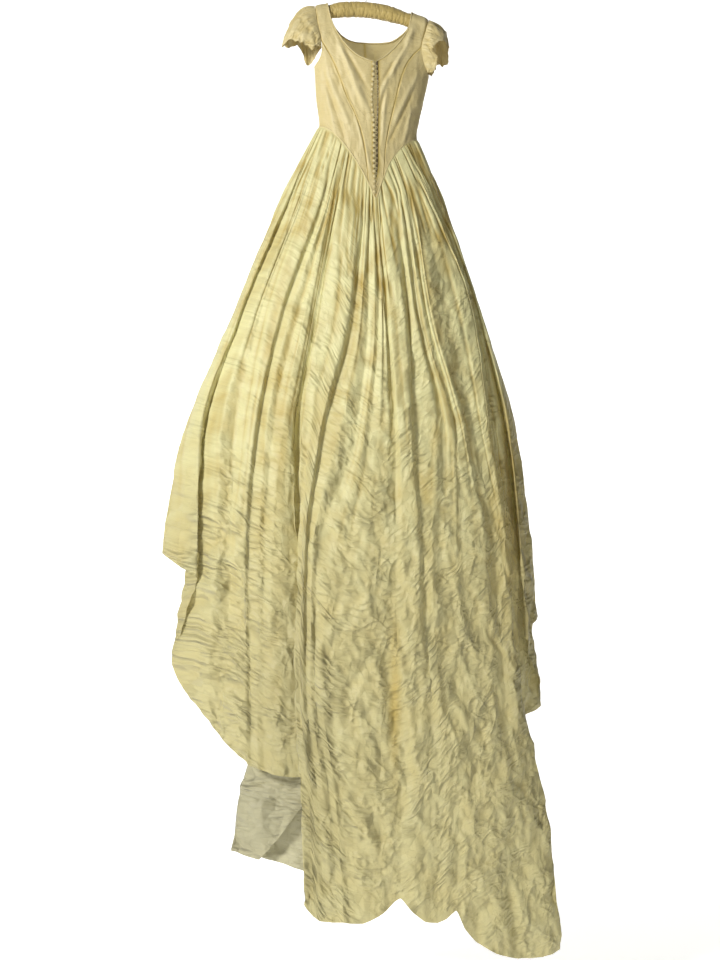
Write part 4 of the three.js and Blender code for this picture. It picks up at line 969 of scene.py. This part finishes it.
def backFoldPoints(row, shares):
    reliefHigh, reliefMiddle, reliefLow, hem = row[-4:]
    topHeight = float(waistBackHeight(row[1]))
    across = foldAcross(row)
    relief = through([[-2500, reliefLow], [-1600, reliefMiddle], [-1000, reliefHigh]])

    # the weight of the train draws its open folds flatter than the deep hidden ones
    flatter = 0.65 if abs(reliefLow) < 27 else 0

    def depth(z):
        left = 1 - flatter * ease(-750, -1750, z)
        return domeDepth(across(z), z) + relief(z) * left * ease(0, 330, topHeight - z)
    return foldPoints(topHeight, hem, False, across, depth, shares)


def frontFoldPoints(index, shares):
    share = index / (frontFolds + 1)
    sine = math.cos(math.pi * share)
    turnedIn = math.sin(math.pi * share)
    top = mix(sum(waistEnds) / 2, waistEnds[1] if sine > 0 else waistEnds[0], abs(sine))
    topHeight = float(waistFrontHeight(top))
    wander = 9 * math.sin(index * 2.7) * turnedIn
    rise = (1 if index % 2 == 0 else -1) * (0.7 + 0.3 * math.sin(index * 1.9))

    def across(z):
        left, right = (seam(z) for seam in sideSeamAcross)
        fall = np.clip((topHeight - z) / 330, 0, 1)
        return mix(top, mix(left, right, (1 + sine) / 2) + wander * fall,
                   1 - (1 - fall) ** 2 * (1 - sine**4))

    def depth(z):
        return (domeFront(z) * turnedIn**1.2
                + rise * 18 * turnedIn * ease(0, 900, topHeight - z))
    hem = mix(-1564, foldLines[-1 if sine > 0 else 0][-1], sine**2)
    return foldPoints(topHeight, hem, True, across, depth, shares)


# What is worked into the skirt on top of its folds: gathers from the waist seam that soften into
# narrow pleats, and crumples that grow towards the hem.
skirtCloth = {
    "spacing": 6.2, "frontSpacing": 9.0, "rows": 330, "crisp": 0.65,
    "gather": 5.2, "gatherSpacing": 15, "pleat": 4.0, "pleatSpacing": 30,
    "crumpleHigh": 1.8, "crumpleLow": 9.5, "crumpleSize": 105, "fineCrumple": 4.2, "fineSize": 42,
    "hemFold": 16, "hemStitch": 1.0, "roomWidth": 60, "lowFrom": -1050, "lowTo": -2050,
    "gatherRow": 28, "pleatRow": 150,
}
# drag lines and creases, listed: from x, z to x, z on the outline, half width, height outwards
skirtCreases = [
    [160, -1040, -30, -1560, 16, 7.0], [120, -1120, -70, -1690, 13, -6.0],
    [-150, -1250, -190, -1700, 10, 5.0], [210, -1180, 300, -1560, 12, 5.0],
    [-20, -1800, -170, -2060, 15, 6.0], [40, -1960, -120, -2230, 14, -6.0],
    [150, -2000, 330, -2250, 15, 6.0], [260, -2080, 420, -2420, 14, -6.0],
    [-330, -1500, -470, -1800, 16, 6.0], [-300, -1700, -430, -2050, 15, -6.0],
    [-90, -2350, 60, -2620, 15, 6.0], [210, -2350, 330, -2700, 16, 6.0],
    [-260, -1850, -350, -2200, 13, 5.0], [330, -1300, 390, -1650, 14, -5.0],
    [52, -1960, 112, -2390, 20, -12.0], [96, -1990, 150, -2330, 11, 7.0],
]
# painted golden shade in deep valleys: x, z, half width, half height, share
goldenShadePatches = [[84, -2150, 15, 190, 0.7], [430, -1560, 60, 330, 0.4], [-250, -1150, 60, 330, 0.2]]

# ring by ring from the waist: through all fold lines, rounded a little, with rows closer at the top
shares = np.linspace(0.0015, 1, skirtCloth["rows"]) ** 1.12
foldGrid = np.stack(
    [backFoldPoints(row, shares) for row in foldLines]
    + [frontFoldPoints(i + 1, shares) for i in range(frontFolds)], axis=1)
spans = np.linalg.norm(foldGrid - np.roll(foldGrid, -1, axis=1), axis=2)
widest = np.quantile(spans, 0.9, axis=0)
places, starts = [], []
for fold, width in enumerate(widest):
    isBack = fold < len(foldLines) - 1
    steps = max(4, math.ceil(width / skirtCloth["spacing" if isBack else "frontSpacing"]))
    starts.append(len(places))
    places += [fold + step / steps for step in range(steps)]
places = np.array(places)
fromFold = places.astype(int)
toFold = (fromFold + 1) % foldGrid.shape[1]
straight = mix(foldGrid[:, fromFold], foldGrid[:, toFold], (places % 1)[:, None])
ring = mix(curveAt(foldGrid, places, closed=True), straight, skirtCloth["crisp"])
ringNormals = gridNormals(ring, closed=True)
pleatRun = runAlong(ring[skirtCloth["pleatRow"]])[None, :]
gatherRun = runAlong(ring[skirtCloth["gatherRow"]])[None, :]
down = runAlong(ring, 0)
x, y, z = (ring[..., k] for k in range(3))
level, lean = x + 0.8 * y, z + 0.5 * y     # places on the cloth that also run on into its depth
# darker, duller and more crumpled towards the hem
lowness = ease(skirtCloth["lowFrom"], skirtCloth["lowTo"], z)
# less is worked into narrow hidden folds, where the cloth has no room for it
foldRoom = np.clip(widest / skirtCloth["roomWidth"], 0.25, 1)
foldRoom = np.interp(places, np.arange(len(foldRoom)) + 0.5, foldRoom)
foldRoom = mix(1, foldRoom[None, :], ease(100, 420, down))
gathers = pleat(gatherRun / skirtCloth["gatherSpacing"], down / 210, 5)
height = skirtCloth["gather"] * gathers * ease(1, 12, down) * (1 - ease(140, 520, down))
pleats = skirtCloth["pleat"] * pleat(pleatRun / skirtCloth["pleatSpacing"], down / 520, 9)
height = height + pleats * ease(60, 420, down) * (1 - 0.95 * lowness)
pleatHeight = height

# crumples fade in below the waist and grow towards the hem, then come creases and the hem's stitching
big = crumple(level / skirtCloth["crumpleSize"], lean / (skirtCloth["crumpleSize"] * 1.4), 21)
fine = crumple(level / skirtCloth["fineSize"], lean / (skirtCloth["fineSize"] * 1.25), 44)
fade = ease(20, 260, down)
trodden = ease(-250, -400, x) * ease(-1350, -1750, z)      # the left side is crumpled hardest
height = height + big * mix(skirtCloth["crumpleHigh"], skirtCloth["crumpleLow"], lowness) * fade
height = height + fine * skirtCloth["fineCrumple"] * (0.25 + 0.75 * lowness + 0.7 * trodden) * fade
height = (height + creaseHeight(skirtCreases, x, z) * (y < 0)) * foldRoom
fromStitch = down[-1:] - down - skirtCloth["hemFold"]
height = height - skirtCloth["hemStitch"] * np.exp(-((fromStitch / 2.5) ** 2))
height = height * ease(0, 6, down)
cloth = ring + ringNormals * height[..., None]

# colour of the cloth: painted golden shade in its valleys, darker and duller low down, grey with
# painted shade on the fold under the train
foldNumber = {row[0]: i for i, row in enumerate(foldLines)}
valleyShade = np.clip(0.2 - (pleatHeight + fine * 2) * 0.1, 0, 1)
# the painted shade is stronger at mid skirt and in the gathers below the waist
goldenShade = 0.75 * np.exp(-((np.abs(z + 1150) / 600) ** 2)) + 0.9 * (1 - ease(100, 520, down))
valleyShade = np.minimum(valleyShade, 0.7) * (0.4 + goldenShade)
for middleX, middleZ, halfWidth, halfHeight, strength in goldenShadePatches:
    spread = ((x - middleX) / halfWidth) ** 2 + ((z - middleZ) / halfHeight) ** 2
    valleyShade = valleyShade + strength * np.exp(-spread) * (y < 0)
# the fold under the train is grey, its reverse side's colour darkened as painted shade
isUnder = (places > foldNumber["tuckInner"]) & (places < foldNumber["tuckOuter"])
greyAndShade = isUnder[None, :] * ease(-1900, -2300, z)
wearAndShadeGrid = stack(
    np.clip(valleyShade, 0, 1) * (1 - greyAndShade), mix(0.85 * lowness, 2, greyAndShade),
    (0.5 + 0.5 * lowness + 0.9 * trodden) * (0.2 + 0.8 * ease(60, 420, down)))
weaveGrid = stack(level, down, 0 * x)


def skirtPiece(name, fromFold, toFold):
    start = starts[foldNumber[fromFold]]
    end = starts[foldNumber[toFold]] if toFold else len(places)
    take = np.arange(start, end + 1) % len(places)
    piece = finish(sheetMesh(
        name, cloth[:, take], weaveGrid[:, take], wearAndShadeGrid[:, take], skirtSilk))


skirtPiece("skirt_side_left", "sideSeamLeft", "goldValley")
skirtPiece("train_left", "goldValley", "centreSeam")
skirtPiece("train_right", "centreSeam", "rearPanel")
skirtPiece("skirt_side_right", "rearPanel", "sideSeamRight")
skirtPiece("skirt_front", "sideSeamRight", None)
print("skirt made")

# padded hanger: cover gathered along its length, drawn in at both ends
padTurn = math.pi * pad["radius"] / 2
padLength = 2 * pad["halfLength"] + 2 * padTurn
padRun = np.linspace(0, padLength, pad["rings"])
fromEnd = np.minimum(padRun, padLength - padRun)
endAngle = np.clip(fromEnd / pad["radius"], 0, math.pi / 2)
endX = pad["halfLength"] + pad["radius"] * np.cos(endAngle)
padX = np.where(
    fromEnd < padTurn, np.where(padRun < padLength / 2, -endX, endX),
    padRun - padTurn - pad["halfLength"])
thick = mix(pad["middleRadius"], pad["radius"], ease(70, 115, np.abs(padX)))
padRadius = np.where(fromEnd < padTurn, pad["radius"] * np.sin(endAngle), thick)
padRadius = np.maximum(padRadius, 0.6)
padPath = stack(padX, 0 * padX, padHeight(padX))


def gatheredRadius(ring, angle):
    folds = pad["foldHeight"] * pleat(ring * pad["gathers"] / pad["rings"], angle, 71)
    folds = folds + 0.25 * noise(ring / 4, angle * 2, 72)
    return padRadius[:, None] + folds * np.minimum(1, padRadius[:, None] / 15)


padPiece = cordMesh(
    "hanger_pad", padPath, np.tile([0.0, -1, 0], (pad["rings"], 1)), gatheredRadius, 36, padSilk,
    wearAndShade=(0.7, 0, 0.6))
finish(padPiece)

hook = {"radius": 22, "wire": 1.9, "rings": 140}
hookCentre = hook["radius"] + hook["wire"]
hookPairs = [[0, pad["heightAtHook"] + pad["middleRadius"] + 0.45], [0, -60], [7, -51]]
for degrees in range(-52, 206, 15):
    turn = math.radians(degrees)
    hookPairs.append([hookCentre * math.cos(turn), -hook["radius"] + hookCentre * math.sin(turn)])
hookLine = spaced(hookPairs, np.linspace(0, 1, hook["rings"]))


# the wire is rounded off at both cut ends
def wireRadius(ring, angle):
    fromCut = np.minimum(ring, hook["rings"] - 1 - ring)
    return hook["wire"] * np.minimum(1, 0.25 + fromCut / 3) + 0 * angle


finish(cordMesh(
    "hanger_hook", stack(hookLine[:, 0], 0 * hookLine[:, 0], hookLine[:, 1]),
    np.tile([0.0, -1, 0], (hook["rings"], 1)), wireRadius, 12, wireSteel))
print("hanger made")

# pale floor that sweeps up into a backdrop, well behind the dress
sweep = {"floor": -3.02, "start": 0.9, "back": 3.2, "top": 2.2, "radius": 1.4, "halfWidth": 4.5}
profile = [[-3.0, sweep["floor"]], [sweep["start"], sweep["floor"]]]
for degrees in range(6, 91, 6):
    turn = math.radians(degrees)
    profile.append([
        sweep["back"] - sweep["radius"] + sweep["radius"] * math.sin(turn),
        sweep["floor"] + sweep["radius"] * (1 - math.cos(turn))])
profile.append([sweep["back"], sweep["top"]])
sweepPoints = np.array([
    [side * sweep["halfWidth"], y, z] for y, z in profile for side in (-1, 1)]) / mm
sweepFaces = np.array([[2 * i, 2 * i + 1, 2 * i + 3, 2 * i + 2] for i in range(len(profile) - 1)])
# White painted board, matt: even and bright, with only a soft shadow below the train.
board = newMaterial("white_backdrop_matt")
boardPaint = addNode(
    board, "BsdfPrincipled", Base_Color=linear("#f4f4f2"), Roughness=0.9,
    Emission_Color=(1, 1, 1, 1), Emission_Strength=0.62)
# the board has one painted side, so it doesn't hide the dress from behind
painted = addNode(
    board, "MixShader", i0=addNode(board, "NewGeometry").outputs["Backfacing"],
    i1=boardPaint, i2=addNode(board, "BsdfTransparent"))
addNode(board, "OutputMaterial", Surface=painted)
surfaceMesh("backdrop", sweepPoints, sweepFaces, sweepPoints, sweepPoints, board)

lights = {
    "key_left": {"power": 370, "at": (-4.0, -4.0, 0.9), "size": 1.3, "colour": "#fffdf8"},
    "fill_right": {"power": 4, "at": (2.0, -5.5, -0.8), "size": 2.5, "colour": "#fff8f0"},
}
for name, settings in lights.items():
    data = bpy.data.lights.new(name, "AREA")
    data.energy = settings["power"]
    data.shape = "DISK"
    data.size = settings["size"]
    data.color = linear(settings["colour"])[:3]
    light = bpy.data.objects.new(name, data)
    light.location = settings["at"]
    aim = Vector((0.0, 0.0, -1.3)) - Vector(settings["at"])
    light.rotation_euler = aim.to_track_quat("-Z", "Y").to_euler()
    scene.collection.objects.link(light)

world = bpy.data.worlds.new("studio")
world.use_nodes = True
world.node_tree.nodes.clear()
# dim studio light all round, seen as white
dimLight = addNode(world, "Background", Color=linear("#f2efe8"), Strength=0.13)
whiteWalls = addNode(world, "Background", Color=linear("#ffffff"), Strength=1.0)
studio = addNode(
    world, "MixShader", i0=addNode(world, "LightPath").outputs["Is Camera Ray"],
    i1=dimLight, i2=whiteWalls)
addNode(world, "OutputWorld", Surface=studio)
scene.world = world

print("backdrop and lights made")
